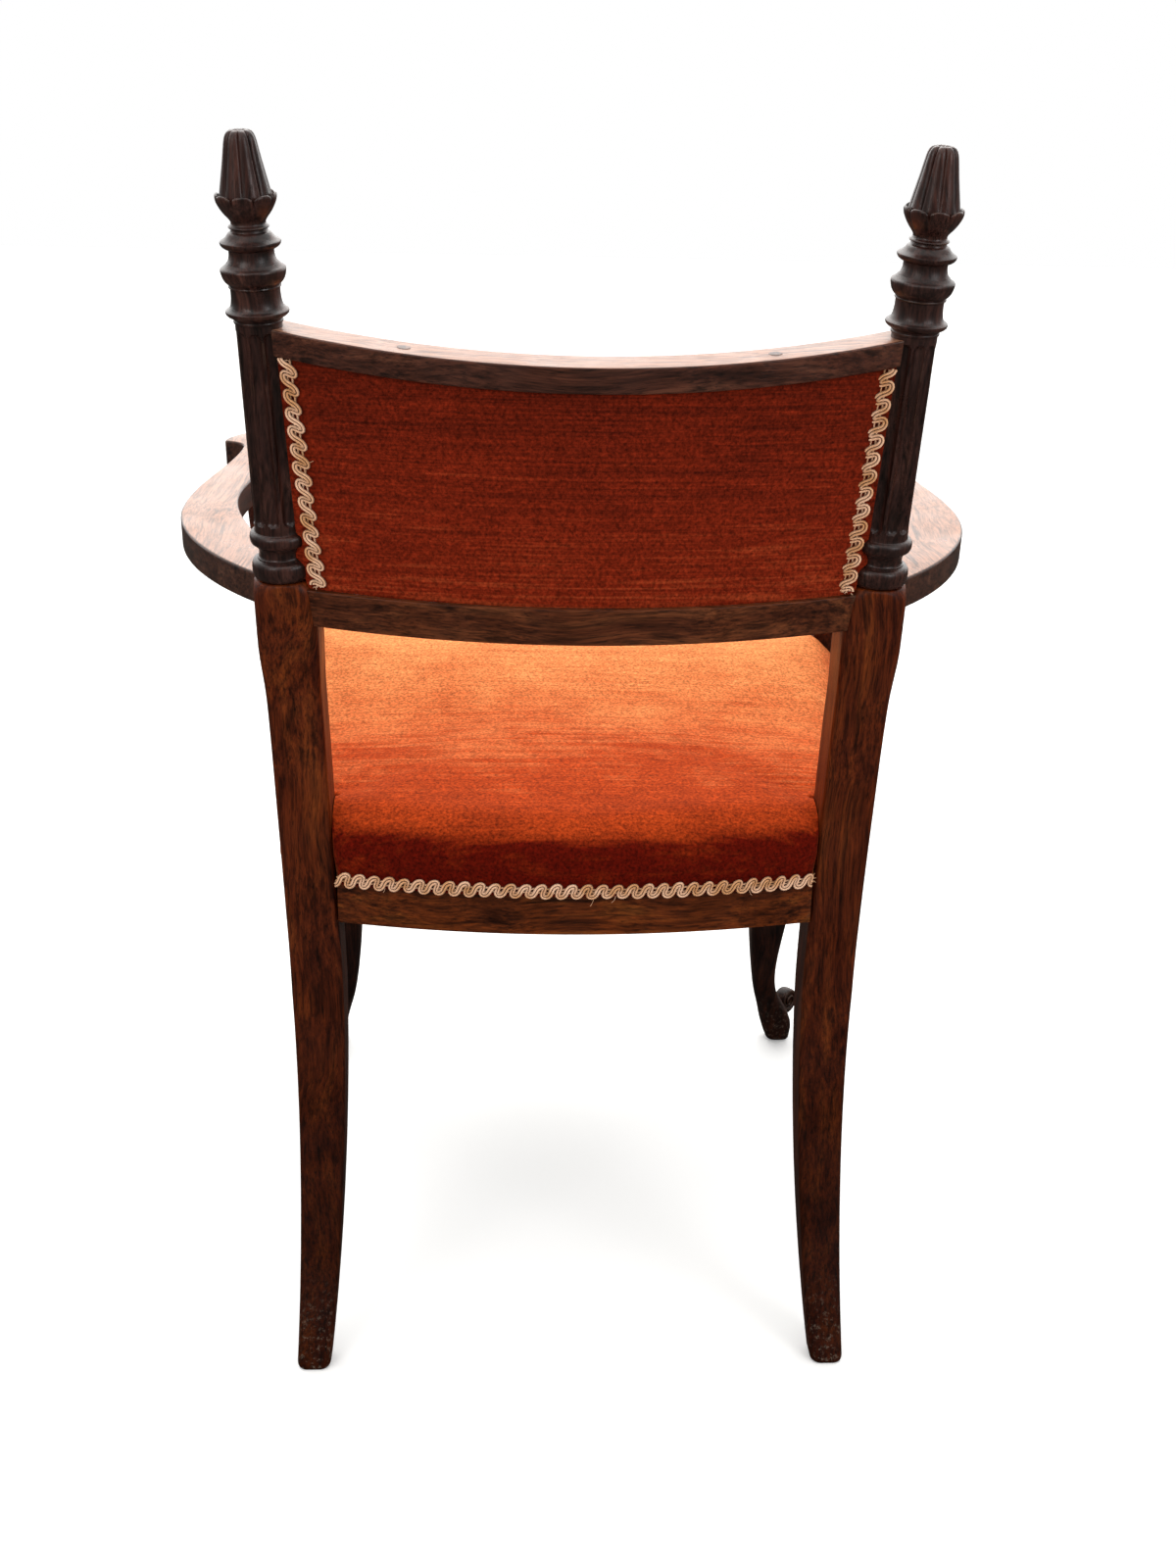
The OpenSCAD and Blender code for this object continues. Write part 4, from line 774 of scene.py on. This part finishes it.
# Arms.
# Flat boards of rosewood sawn to a sweeping outline, coped over the posts' rings and flared at the hand rest.
# Their top faces are pale where the light grazes the polish, with fine dark grain lines.
arm_curves = [
    ([[226, 231], [275, 191], [328, 119], [328, 34]], 28),
    ([[328, 34], [328, -41], [306, -91], [306, -156]], 24),
    ([[306, -156], [306, -170], [318, -174], [325, -176]], 10),
    ([[325, -176], [332, -182], [314, -217], [288, -219]], 14),
    ([[288, -219], [262, -217], [238, -182], [247, -174]], 14),
    ([[247, -174], [256, -170], [266, -170], [266, -154]], 10),
    ([[266, -154], [266, -91], [286, -56], [286, 0]], 24),
    ([[286, 0], [286, 59], [255, 119], [234, 167]], 24)]
arm_line = np.concatenate([cubic(points, steps)[:-1] for points, steps in arm_curves]
                          + [np.array([[234.0, 167.0], [226.0, 199.0]])])
bpy.ops.object.select_all(action="DESELECT")
bpy.ops.mesh.primitive_circle_add(vertices=len(arm_line), fill_type="NGON", radius=0.1)
arm_left = bpy.context.object
arm_left.name = arm_left.data.name = "arm_sitters_left"
for point, (x, y) in zip(arm_left.data.vertices, arm_line):
    point.co = (x * MM, y * MM, -ARM_THICK * MM)
open_mesh()
bpy.ops.mesh.extrude_region_move(TRANSFORM_OT_translate={"value": (0, 0, ARM_THICK * MM)})
bpy.ops.mesh.select_all(action="SELECT")
bpy.ops.mesh.normals_make_consistent(inside=False)
bpy.ops.mesh.select_mode(type="EDGE")
bpy.ops.mesh.select_all(action="DESELECT")
bpy.ops.object.mode_set(mode="OBJECT")
for edge in arm_left.data.edges:
    ends = [arm_left.data.vertices[i].co for i in edge.vertices]
    edge.select = abs(ends[0].z - ends[1].z) < 1e-6
bpy.ops.object.mode_set(mode="EDIT")
bpy.ops.mesh.bevel(offset=0.0026, segments=4, profile=0.55, affect="EDGES")
bpy.ops.object.mode_set(mode="OBJECT")


def cut_away(piece, tool):
    """Takes the tool's shape out of a piece."""
    cut = piece.modifiers.new("cope", "BOOLEAN")
    cut.operation, cut.object, cut.solver = "DIFFERENCE", tool, "EXACT"
    bpy.ops.object.select_all(action="DESELECT")
    bpy.context.view_layer.objects.active = piece
    piece.select_set(True)
    bpy.ops.object.modifier_apply(modifier=cut.name)
    bpy.data.objects.remove(tool)


arm_left.data.transform(Matrix(((1, 0, 0, 0),
                                (0, math.cos(ARM_RISE), math.sin(ARM_RISE),
                                 JOINT_Y * MM * (1 - math.cos(ARM_RISE))),
                                (0, -math.sin(ARM_RISE), math.cos(ARM_RISE),
                                 (JOINT_Z + JOINT_Y * math.sin(ARM_RISE)) * MM), (0, 0, 0, 1))))
cut_away(arm_left, lofted("cope", [post_ring(z, -0.12)
                                   for z in (560, 580, 600, 610, 620, 630, 636, 640, 644, 648, 652)]))
cope = spun("cope", [(0, -3), (23.45, -3), (23.45, 60), (0, 60)], 96)
cope.data.transform(post_frame)
cut_away(arm_left, cope)
bpy.ops.object.shade_smooth_by_angle(angle=math.radians(34))
# The arms' top faces are painted pale: a painted reflection of the light grazing the polish.
arm_wood = rosewood("arm_rosewood", "Y", (0.022, 0.0078, 0.0045), (0.058, 0.0205, 0.0120),
                    (0.110, 0.044, 0.024), gloss=0.32, worn=0.8, shift=9.2, shine=0.5, painted_top_glare=1.0)
finish_pair(arm_left, arm_wood, "arm")

# Inner frame.
# Beech stiles beside the columns carry the back's upholstery, and beech blocks with steel screws stiffen
# the seat's corners. Beech dowels hold the arms and their supports.
beech, tree, shader = fresh("beech")
place = add(tree, "Mapping", {"Vector": add(tree, "TexCoord").outputs["Object"],
                              "Scale": (1, 1, 0.1)}).outputs[0]
rays = noise(tree, place, 160.0, 4.0)
colour = shaded(tree, rays, (0, (0.42, 0.26, 0.13)), (1, (0.66, 0.47, 0.28)))
fill(tree, shader, {"Base Color": colour, "Roughness": 0.62})
relieved(tree, shader, rays, 0.2, 0.0004)
steel, tree, shader = fresh("steel")
spots = noise(tree, add(tree, "TexCoord").outputs["Object"], 700.0, 3.0)
rough = ranged(tree, spots, 0.0, 1.0, 0.22, 0.5)
fill(tree, shader, {"Base Color": (0.52, 0.51, 0.50, 1), "Roughness": rough, "Metallic": 1.0})
for name in ("back_stile_left", "back_stile_right", "corner_blocks", "arm_dowels", "corner_block_screws"):
    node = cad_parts[name]
    if len(node.data.materials) == 0:
        node.data.materials.append(beech)
    for held in node.material_slots:
        held.material = steel if name == "corner_block_screws" else beech

# Webbing and hessian.
# Jute webbing crosses the seat frame, seven strips to the front and six across, and hessian lies over it.
# The back has five shorter strips and a hessian of its own under the stuffing.
jute, tree, shader = fresh("jute")
place = add(tree, "TexCoord").outputs["Object"]
weft, warp = [add(tree, "TexWave", {"Vector": place, "Scale": 210.0, "Distortion": 1.2, "Detail": 1.0},
                  bands_direction=way).outputs["Fac"] for way in "XY"]
weave = worked(tree, "MULTIPLY", weft, warp)
colour = shaded(tree, weave, (0, (0.16, 0.10, 0.05)), (1, (0.48, 0.35, 0.19)))
fill(tree, shader, {"Base Color": colour, "Roughness": 0.9})
relieved(tree, shader, weave, 0.5, 0.0006)


def flat_cloth(name, place, thick, material, cols, rows):
    """A sheet of cloth or a strip: a grid laid by a rule, with its own thickness."""
    cloth = new_grid(name, cols, rows)
    for point in cloth.data.vertices:
        point.co = Vector(place(point.co.x * 2, point.co.y * 2)) * MM
    body = cloth.modifiers.new("thickness", "SOLIDIFY")
    body.thickness, body.offset = thick * MM, 0.0
    bpy.ops.object.modifier_apply(modifier=body.name)
    bpy.ops.object.mode_set(mode="EDIT")
    face_out()
    bpy.ops.object.shade_smooth_by_angle(angle=math.radians(60))
    cloth.data.materials.append(material)
    return cloth


STRIP = 25


def front_to_back(order):
    """The rule of one strip of the seat from the front rail to the rear one."""
    x0 = -161.5 + order * 323 / 6
    half = 247 if abs(x0) > 150 else 250
    return lambda a, b: (x0 + a * STRIP, -44 + b * half,
                         426.4 + 0.5 * math.sin(b * 18 + order * math.pi) * (1 - b ** 8))


def side_to_side(order):
    """The rule of one strip of the seat from side rail to side rail."""
    y0 = -207 + order * 67.6
    half = side_x(y0) - 14
    return lambda a, b: (b * half, y0 + a * STRIP,
                         428.1 + 0.4 * math.sin(b * 20 + order * math.pi) * (1 - b ** 8))


def across_back(order):
    """The rule of one strip across the back."""
    w0 = 51 + order * 66
    return lambda a, b: raked(b * 178, -8.2 + bow(b * 178), w0 + a * STRIP)


def down_back(order):
    """The rule of one upright strip of the back."""
    x0 = -66 + order * 66
    return lambda a, b: raked(x0 + a * STRIP, -8.4 + bow(x0 + a * STRIP), 75 + b * 74)


def webbing(rule, count, cols=4, rows=60):
    """So many strips by one rule."""
    return [flat_cloth("webbing", rule(order), 1.2, jute, cols, rows) for order in range(count)]


def seat_sheet(a, b):
    """The hessian of the seat, its corners cut back at the arm supports and the posts."""
    half = 257 if b < -0.78 else 187 if b > 0.81 else side_x(b * 250 - 40) - 8
    front = front_y(a * 200)
    return a * half, (b * 0.5 + 0.5) * (back_y(a * 180) - 6 - front - 6) + front + 6, 429.6


def back_sheet(a, b):
    """The hessian of the back."""
    x = a * 200
    return raked(x, -9.6 + bow(x), 80 - dip(x) / 2 + b * (84 - dip(x) / 2))


long_webbing = joined("webbing_front_to_back", *webbing(front_to_back, 7))
cross_webbing = joined("webbing_side_to_side", *webbing(side_to_side, 6))
seat_cloth = flat_cloth("seat_hessian_cloth", seat_sheet, 0.8, jute, 60, 60)
back_webbing = joined("back_webbing_strips", *webbing(across_back, 2), *webbing(down_back, 3, 8, 30))
back_cloth = flat_cloth("back_hessian_cloth", back_sheet, 0.8, jute, 60, 20)
dress(long_webbing, "jute", "seat_webbing_long")
dress(cross_webbing, "jute", "seat_webbing_cross")
dress(seat_cloth, "jute", "seat_hessian")
dress(back_webbing, "jute", "back_webbing")
dress(back_cloth, "jute", "back_hessian")

# Seat cover and its stuffing.
# Burnt orange velvet drawn over a hair stuffing, with a firm roll along the rails and a soft crown, cut
# round the posts and the arm supports. Its colour is deep red, painted paler orange on upward faces and more
# so towards the front, as painted sheen.


def velvet(name, colours, brush, lean=0.0, fall=None, weight=0.6, ribs=0.24):
    """Cut-pile velvet in three shades of one nap, chosen by fine brush lines along one way and soft clouds,
    with a speckled pile. Upward faces can be painted paler as painted sheen, and a gradient along one axis
    paints sheen or shade into the colour."""
    material, tree, shader = fresh(name)
    place = add(tree, "TexCoord").outputs["Object"]

    def stroke(scale, size, detail, low, high):
        """One layer of the nap, as it comes and as a tone."""
        made = noise(tree, add(tree, "Mapping", {"Vector": place, "Scale": scale}).outputs[0], size, detail,
                     Roughness=0.65)
        return made, ranged(tree, made, 0.3, 0.7, low, high)

    share = stroke(brush, 1.0, 5.0, -ribs, ribs)[1]
    broad = stroke([s * 0.3 for s in brush], 1.0, 2.0, -0.04, 0.04)[1]
    cloud = stroke((1, 1, 1), 16.0, 4.0, -0.10, 0.10)[1]
    share = worked(tree, "ADD", worked(tree, "ADD", share, broad), cloud)
    # Upward faces are painted paler: painted sheen.
    if lean > 0:
        normal = add(tree, "NewGeometry").outputs["Normal"]
        painted_top_sheen = add(tree, "SeparateXYZ", {"Vector": normal}).outputs["Z"]
        painted_top_sheen = ranged(tree, painted_top_sheen, 0.45, 0.99, 0.0, lean, interpolation_type="SMOOTHSTEP")
        share = worked(tree, "ADD", share, painted_top_sheen)
    # A gradient along one axis, lighter towards one end: painted sheen, or painted shade where the other end
    # is darker.
    if fall:
        axis, start, end, painted_light_amount = fall
        along = add(tree, "SeparateXYZ", {"Vector": place}).outputs[axis]
        share = worked(tree, "ADD", share, ranged(tree, along, start, end, 0.0, painted_light_amount))
    pile, speck = stroke((1, 1, 1), 430.0, 3.0, 0.44, 1.62)
    fluff = stroke((1, 1, 1), 210.0, 3.0, 0.80, 1.20)[1]
    colour = shaded(tree, share, *zip((0, 0.5, 1), colours))
    colour = scaled(tree, colour, worked(tree, "MULTIPLY", speck, fluff))
    fill(tree, shader, {"Base Color": colour, "Roughness": 0.92, "Specular IOR Level": 0.05,
                        "Sheen Weight": weight, "Sheen Roughness": 0.35, "Sheen Tint": (1.0, 0.26, 0.07, 1)})
    relieved(tree, shader, pile, 0.35, 0.0006)
    return material


def dense(points, pitch):
    """Points along straight stretches, each cut into equal steps."""
    made = []
    for (x0, y0), (x1, y1) in zip(points, points[1:] + points[:1]):
        count = max(1, round(math.hypot(x1 - x0, y1 - y0) / pitch))
        made += [(x0 + (x1 - x0) * k / count, y0 + (y1 - y0) * k / count) for k in range(count)]
    return made


half_line = [(float(x), back_y(x)) for x in np.linspace(0, 191.2, 30)]
half_line += [(191.2, 169.0), (side_x(169), 169.0)]
half_line += [(290.0, -238.0), (290.0, -240.0), (261.0, -240.0), (261.0, -291.0)]
half_line += [(float(x), front_y(x)) for x in np.linspace(243, 0, 36)]
seat_line = np.array(dense(half_line + [(-x, y) for x, y in half_line[-2:0:-1]], 4.6))
for _ in range(2):
    seat_line = 0.5 * seat_line + 0.25 * np.roll(seat_line, 1, 0) + 0.25 * np.roll(seat_line, -1, 0)
tangent = np.roll(seat_line, -1, 0) - np.roll(seat_line, 1, 0)
tangent /= np.linalg.norm(tangent, axis=1)[:, None]
outward = np.stack([-tangent[:, 1], tangent[:, 0]], 1)
if (outward * seat_line).sum() < 0:
    outward = -outward
notch = np.array([(189 < abs(x) < 240 and y < back_y(190) - 4 and y > 160 and not (abs(x) > side_x(y) - 2)) or
                  (258.5 < abs(x) < 289 and y < -230 and y > -290) for x, y in seat_line])
at_post = np.array([abs(x) < 193 and y > 172 for x, y in seat_line]) & notch
seat_mid = np.array([0.0, -41.0])


def from_edges(points, edge):
    """Least distance of each point from a set of edge points."""
    return np.sqrt(((points[:, None, :] - edge[None, :, :]) ** 2).sum(2)).min(1)


def seat_surface(share):
    """Heights of the cover over a ring drawn in to a share of the outline."""
    points = seat_mid + (seat_line - seat_mid) * share
    free = np.clip(from_edges(points, seat_line[~notch]) / 36.0, 0, 1)
    tuck = np.clip(from_edges(points, seat_line[notch & ~at_post]) / 9.0, 0, 1)
    roll = np.sqrt(np.clip(1 - (1 - free) ** 2, 0, 1))
    tucked = np.sqrt(np.clip(1 - (1 - tuck) ** 2, 0, 1))
    built = np.array([30.0 * ease((19.0 - y) / 230.0) for _, y in points])
    rise = BLOCK_TOP + (30.0 + built) * roll * (0.72 + 0.28 * tucked)
    rise += 12.0 * (1 - share ** 2)
    soft = [1.1 * (math.sin(x / 41 + 1.3) * math.sin(y / 53 + 0.6) + 0.5 * math.sin(x / 23 - y / 31))
            for x, y in points]
    rise += np.array(soft) * np.minimum(free, tuck) * 0.8
    return points, rise


seat_rings = []
for z, out in ((397.0, 0.3), (397.2, 1.7), (398.5, 2.1), (404.0, 2.2), (410.0, 2.4), (416.0, 3.2),
               (421.0, 4.4)):
    bulge = np.where(notch, 0.2, out) + np.where(at_post, (z - 397.0) * 0.12, 0)
    base = seat_line + outward * bulge[:, None]
    seat_rings.append([(x, y, z) for x, y in base])
for share in (1.006, 1.003, 0.998, 0.992, 0.984, 0.974, 0.962, 0.948, 0.932, 0.914, 0.894, 0.872, 0.85, 0.82,
              0.78, 0.73, 0.67, 0.6, 0.52, 0.43, 0.33, 0.22, 0.1, 0.0):
    points, rise = seat_surface(min(share, 1.0))
    spread = np.clip((share - 0.9) / 0.1, 0, 1) * np.where(notch, np.where(at_post, 3.6, 0.2), 4.4)
    points = points + outward * spread[:, None]
    if share > 1.0:
        rise = rise + max(0.0, 1.006 - share) / 0.006 * 3.0
    else:
        rise = rise + 3.0 * max(0.0, 1 - (1 - share) / 0.05)
    seat_rings.append([(x, y, z) for (x, y), z in zip(points, rise)])
seat = lofted("velvet_seat", seat_rings, angle=70)
# The seat's colour takes painted sheen: paler on upward faces and towards the front.
seat_velvet = velvet("seat_velvet", ((0.098, 0.0040, 0.0010), (0.400, 0.0450, 0.0060), (0.84, 0.275, 0.090)),
                     (9, 420, 160),
                     lean=0.40, fall=("Y", 0.205, -0.24, 0.62), weight=0.2, ribs=0.095)
seat.data.materials.append(seat_velvet)
dress(seat, "seat_velvet", "seat_cover", "seat_stuffing")

# Back upholstery.
# The front of the back is a crowned pad under the same velvet, and the rear is closed by one flat sheet of
# velvet between the rails, a little darker, with its nap brushed across.
# The back's velvet is painted darker towards the top, as painted shade under the top rail.
back_velvet = velvet("back_velvet",
                     ((0.085, 0.0080, 0.0028), (0.200, 0.0170, 0.0046), (0.370, 0.0600, 0.0180)),
                     (5, 60, 480),
                     fall=("Z", 0.86, 0.63, 0.60), weight=0.25, ribs=0.30)
pad_rings = []
pad_half = 188.3
for step in range(73):
    u = -1 + 2 * step / 72
    x = pad_half * math.sin(u * math.pi / 2)
    u = x / pad_half
    low, high = 9.5, 151.0 - dip(x)
    full_u = math.sqrt(max(0.0, 1 - abs(u) ** 6))
    ring = []
    for k in range(41):
        v = -math.cos(math.pi * k / 40)
        full = 0.9 + 2.0 + 10 * full_u * math.sqrt(max(0.0, 1 - abs(v) ** 6)) + 15 * (1 - u * u) * (1 - v * v)
        full += 0.5 * math.sin(x / 17 + 2 * v) * (1 - v * v) * full_u
        w = low + (v + 1) / 2 * (high - low)
        ring.append(raked(x * (1 + w / 2580), bow(x) - 9.1 - full, w))
    for k in range(1, 12):
        w = high - (high - low) * k / 12
        ring.append(raked(x * (1 + w / 2580), bow(x) - 10.2, w))
    pad_rings.append(ring)
inside = lofted("velvet_inside_back", pad_rings, angle=70)
inside.data.materials.append(back_velvet)
dress(inside, "back_velvet", "inside_back", "back_pad")


def rear_cloth(a, b):
    """The rear velvet, from column to column and from rail to rail."""
    w = 80 + b * 85.5
    x = a * meets_post(9.5, w if w > 1 else -1.0, 0.3)
    w = -4.8 + (b + 1) / 2 * (166.4 - dip(x) + 4.8)
    slack = 0.5 * math.sin(x / 37) * math.sin(w / 29)
    return raked(x, 8.9 + bow(x) + slack * (1 - a ** 6) * (1 - b ** 6), w)


outside = flat_cloth("velvet_outside_back", rear_cloth, 1.2, back_velvet, 110, 44)
dress(outside, "back_velvet", "outside_back")

# Gimp.
# A scroll braid of two twisted cords side by side, tan and gold with a pink cast, glued over every edge of
# the velvet. Each turn climbs in front on a long slant and comes back down behind, twelve millimetres on.
braid, tree, shader = fresh("gimp_cord")
wrap = add(tree, "UVMap").outputs["UV"]
slant = add(tree, "Mapping", {"Vector": wrap, "Rotation": (0, 0, math.radians(38))}).outputs[0]
twist = add(tree, "TexWave", {"Vector": slant, "Scale": 1.1, "Distortion": 0.6, "Detail": 1.0},
            bands_direction="Y").outputs["Fac"]
shade = noise(tree, add(tree, "TexCoord").outputs["Object"], 70.0, 3.0)
colour = shaded(tree, shade, (0.38, (0.68, 0.330, 0.140)), (0.62, (0.94, 0.580, 0.380)))
# Each cord is painted lighter along its crown and darker down its sides: a painted highlight, and painted
# shade in the grooves between the cords.
across = worked(tree, "MULTIPLY", add(tree, "SeparateXYZ", {"Vector": wrap}).outputs["X"], math.pi)
crown = ranged(tree, add(tree, "Math", {0: across}, operation="SINE").outputs[0], 0.20, 1.0, 0.30, 1.52)
bright = worked(tree, "MULTIPLY", ranged(tree, twist, 0.0, 1.0, 0.62, 1.15), crown)
fill(tree, shader, {"Base Color": scaled(tree, colour, bright), "Roughness": 0.6, "Specular IOR Level": 0.3,
                    "Sheen Weight": 0.2, "Sheen Tint": (1.0, 0.80, 0.66, 1)})
relieved(tree, shader, twist, 0.6, 0.0005)


def tube(solid, faces, thick, turns):
    """One cord along points, with its own UV map for the twist and for the painted light across the cord."""
    way = np.gradient(solid, axis=0)
    way /= np.linalg.norm(way, axis=1)[:, None] + 1e-9
    rings = []
    for centre, run, face in zip(solid, way, faces):
        flank = np.cross(run, face)
        flank /= np.linalg.norm(flank) + 1e-9
        face = np.cross(flank, run)
        rings.append([centre + thick * (math.cos(a) * flank + math.sin(a) * face)
                      for a in np.linspace(0, 2 * math.pi, 7)[:-1]])
    cord = lofted("cord", rings, angle=80)
    for loop in cord.data.uv_layers.active.data:
        loop.uv = (loop.uv[0] * 2.0, loop.uv[1] * turns)
    return cord


def gimp(name, route, length, width, node, turn=12.2, lean=1, seed=1, strays=()):
    """Scroll braid along a route: route(d) gives the point, the way along, the way across and the way out.
    Strays are loose threads, each from a place along the braid and hanging so far across it."""
    chance = random.Random(seed)
    turns = max(1, round(length / turn))
    pitch, half = length / turns, width / 2 - 2.35

    def laid(line, thick, twists):
        """One cord of the braid, from places along, across and out of the route."""
        solid, faces = [], []
        for along, across_w, out in line:
            point, run, side, face = route(min(length, max(0.0, along)))
            past = along - min(length, max(0.0, along))
            solid.append(np.array(point) + np.array(run) * max(-0.6, min(0.6, past))
                         + np.array(side) * across_w + np.array(face) * out)
            faces.append(face)
        return tube(np.array(solid), faces, thick, twists)

    cords = []
    count = turns * 18
    for offset in (-1.15, 1.15):
        flat = []
        for k in range(-1, count + 2):
            t = k / 18
            angle = 2 * math.pi * t
            wave = 0.06 * math.sin(t * 0.9 + seed) + 0.05 * math.sin(t * 2.3)
            flat.append((pitch * t - 0.15 * pitch * math.cos(angle) + (0.95 + wave) * math.sin(2 * angle),
                         -half * lean * (1 + wave) * math.cos(angle), 1.9 + 1.1 * math.sin(angle)))
        flat = np.array(flat)
        step = np.gradient(flat[:, :2], axis=0)
        step /= np.linalg.norm(step, axis=1)[:, None]
        line = flat[1:-1].copy()
        line[:, 0] += -step[1:-1, 1] * offset
        line[:, 1] += step[1:-1, 0] * offset
        cords.append(laid(line, 1.12, count * 0.8))
    for across_w in (-1.5, 1.3):
        cords.append(laid([(d, across_w + 0.35 * math.sin(d / 2.1 + across_w), 0.3)
                           for d in np.linspace(0, length, turns * 6)], 0.9, length / 4))
    ends = [(d, sign) for d, sign in ((0.5, -1), (length - 0.5, 1)) for _ in range(3)]
    for d, sign in ends:
        point, run, side, face = (np.array(v, float) for v in route(d))
        start = point + side * chance.uniform(-half, half) + face * 1.4
        bend = run * sign * chance.uniform(0.6, 2.2) + side * chance.uniform(-2.5, 2.5)
        bend = bend + face * chance.uniform(0.2, 1.0)
        cords.append(tube(np.array([start + bend * t + side * 0.8 * math.sin(3 * t) * t
                                    for t in np.linspace(0, 1, 6)]), [face] * 6, 0.28, 3))
    for d, fall in strays:
        point, run, side, face = (np.array(v, float) for v in route(d))
        start = point - side * half * np.sign(-fall) * 0.8 + face * 1.6
        drift = chance.uniform(-4, 4)
        cords.append(tube(np.array([start + side * fall * t + run * drift * t * t
                                    + face * (1.0 * math.sin(3.1 * t)) for t in np.linspace(0, 1, 10)]),
                          [face] * 10, 0.22, 5))
    piece = joined(name, *cords)
    piece.data.materials.append(braid)
    dress(piece, "gimp", node)


def down_the_back(d):
    """Down the left edge of the outside back, in a straight line beside the column."""
    w = 166.0 - d
    x = 195.2 + 0.080 * w
    w = w - dip(x) * max(0.0, 1 - d / 165)
    slope = bow_slope(x)
    run = np.array(raked(-0.08, 0, -1)) - np.array(raked(0, 0, 0))
    side = np.array(raked(1, slope, 0)) - np.array(raked(0, 0, 0))
    side /= np.linalg.norm(side)
    face = np.cross(run, side)
    return raked(x, 9.5 + bow(x), w), run / np.linalg.norm(run), side, face * (1 if face[1] > 0 else -1)


gimp("gimp_rear_sitters_left", down_the_back, 168.5, 14.0, "back_gimp_left", turn=13.0, lean=-1, seed=3,
     strays=((72, -6),))


def other_down(d):
    """The same edge at the sitter's right."""
    point, run, side, face = down_the_back(d)
    flip = np.array([-1, 1, 1])
    return np.array(point) * flip, run * flip, side, face * flip


gimp("gimp_rear_sitters_right", other_down, 168.5, 14.0, "back_gimp_right", turn=13.0, seed=5,
     strays=((10, 5),))


def on_line(line, start_z, out):
    """A route along a level line of points, facing outwards."""
    line = np.array(line, float)
    steps = np.linalg.norm(np.diff(line, axis=0), axis=1)
    reach = np.concatenate([[0], np.cumsum(steps)])

    def route(d):
        x, y = np.interp(d, reach, line[:, 0]), np.interp(d, reach, line[:, 1])
        xa, ya = np.interp(d + 3, reach, line[:, 0]), np.interp(d + 3, reach, line[:, 1])
        xb, yb = np.interp(d - 3, reach, line[:, 0]), np.interp(d - 3, reach, line[:, 1])
        run = np.array([xa - xb, ya - yb, 0.0])
        run /= np.linalg.norm(run) + 1e-9
        face = np.cross(run, (0, 0, 1))
        return np.array([x, y, start_z]) + face * out, run, np.array([0, 0, 1.0]), face
    return route, float(reach[-1])


rear_line = [(x, back_y(x)) for x in np.linspace(-190.5, 190.5, 60)]
route, reach = on_line(rear_line[::-1], 402.5, 2.3)
gimp("gimp_seat_rear", route, reach, 13.4, "seat_gimp_back", seed=7,
     strays=((205, -9), (222, -6), (40, -4), (330, -5)))
route, reach = on_line([(x, front_y(x)) for x in np.linspace(-258, 258, 64)], 402.5, 2.3)
gimp("gimp_seat_front", route, reach, 13.4, "seat_gimp_front", seed=8, strays=((150, -5),))
route, reach = on_line([(290.0, -243.0), (side_x(165), 165.0)], 402.5, 2.3)
gimp("gimp_seat_sitters_left", route, reach, 13.4, "seat_gimp_left", seed=9)
route, reach = on_line([(-side_x(165), 165.0), (-290.0, -243.0)], 402.5, 2.3)
gimp("gimp_seat_sitters_right", route, reach, 13.4, "seat_gimp_right", seed=10)

ring_line = [(x, 3.5) for x in np.linspace(-194.8, 194.8, 60)]
ring_line += [(195.0 + 0.073 * w, w) for w in np.linspace(10, 150, 24)]
ring_line += [(x, 157.5 - dip(x)) for x in np.linspace(206.3, -206.3, 60)]
ring_line += [(-195.0 - 0.073 * w, w) for w in np.linspace(150, 10, 24)] + [(-194.8, 3.5)]
ring_line = np.array(ring_line)
ring_reach = np.concatenate([[0], np.cumsum(np.linalg.norm(np.diff(ring_line, axis=0), axis=1))])


def round_the_pad(d):
    """Round the four edges of the inside back."""
    def at(q):
        return np.interp(q, ring_reach, ring_line[:, 0]), np.interp(q, ring_reach, ring_line[:, 1])
    (x, w), (xa, wa), (xb, wb) = at(d), at(d + 2), at(d - 2)
    point = np.array(raked(x, bow(x) - 9.3, w))
    run = np.array(raked(xa, bow(xa), wa)) - np.array(raked(xb, bow(xb), wb))
    run /= np.linalg.norm(run) + 1e-9
    slope = bow_slope(x)
    face = np.array(raked(slope, -1, 0)) - np.array(raked(0, 0, 0))
    face /= np.linalg.norm(face)
    side = np.cross(face, run)
    return point, run, side, face


gimp("gimp_front_of_back", round_the_pad, float(ring_reach[-1]), 12.6, "front_back_gimp", seed=11)

# Bottom cloth.
# A thin black cloth closes the seat frame from below, tacked to the undersides of the rails.
black, tree, shader = fresh("black_cloth")
place = add(tree, "TexCoord").outputs["Object"]
threads = add(tree, "TexWave", {"Vector": place, "Scale": 420.0, "Distortion": 0.8},
              bands_direction="X").outputs["Fac"]
colour = shaded(tree, threads, (0, (0.006, 0.006, 0.007)), (1, (0.030, 0.029, 0.028)))
fill(tree, shader, {"Base Color": colour, "Roughness": 0.95})
relieved(tree, shader, threads, 0.3, 0.0003)


def under_seat(a, b):
    """The bottom cloth, bowed out with the rear and the front rail."""
    y = -41 + b * 222
    bowed = y + (18 * (1 - a * a) * max(0.0, b) ** 3) - (9 * (1 - a * a) * max(0.0, -b) ** 3)
    return a * (side_x(y) - 9), bowed, 362.2


dust = flat_cloth("black_bottom_cloth", under_seat, 0.8, black, 40, 40)
dress(dust, "black_cloth", "bottom_cloth")
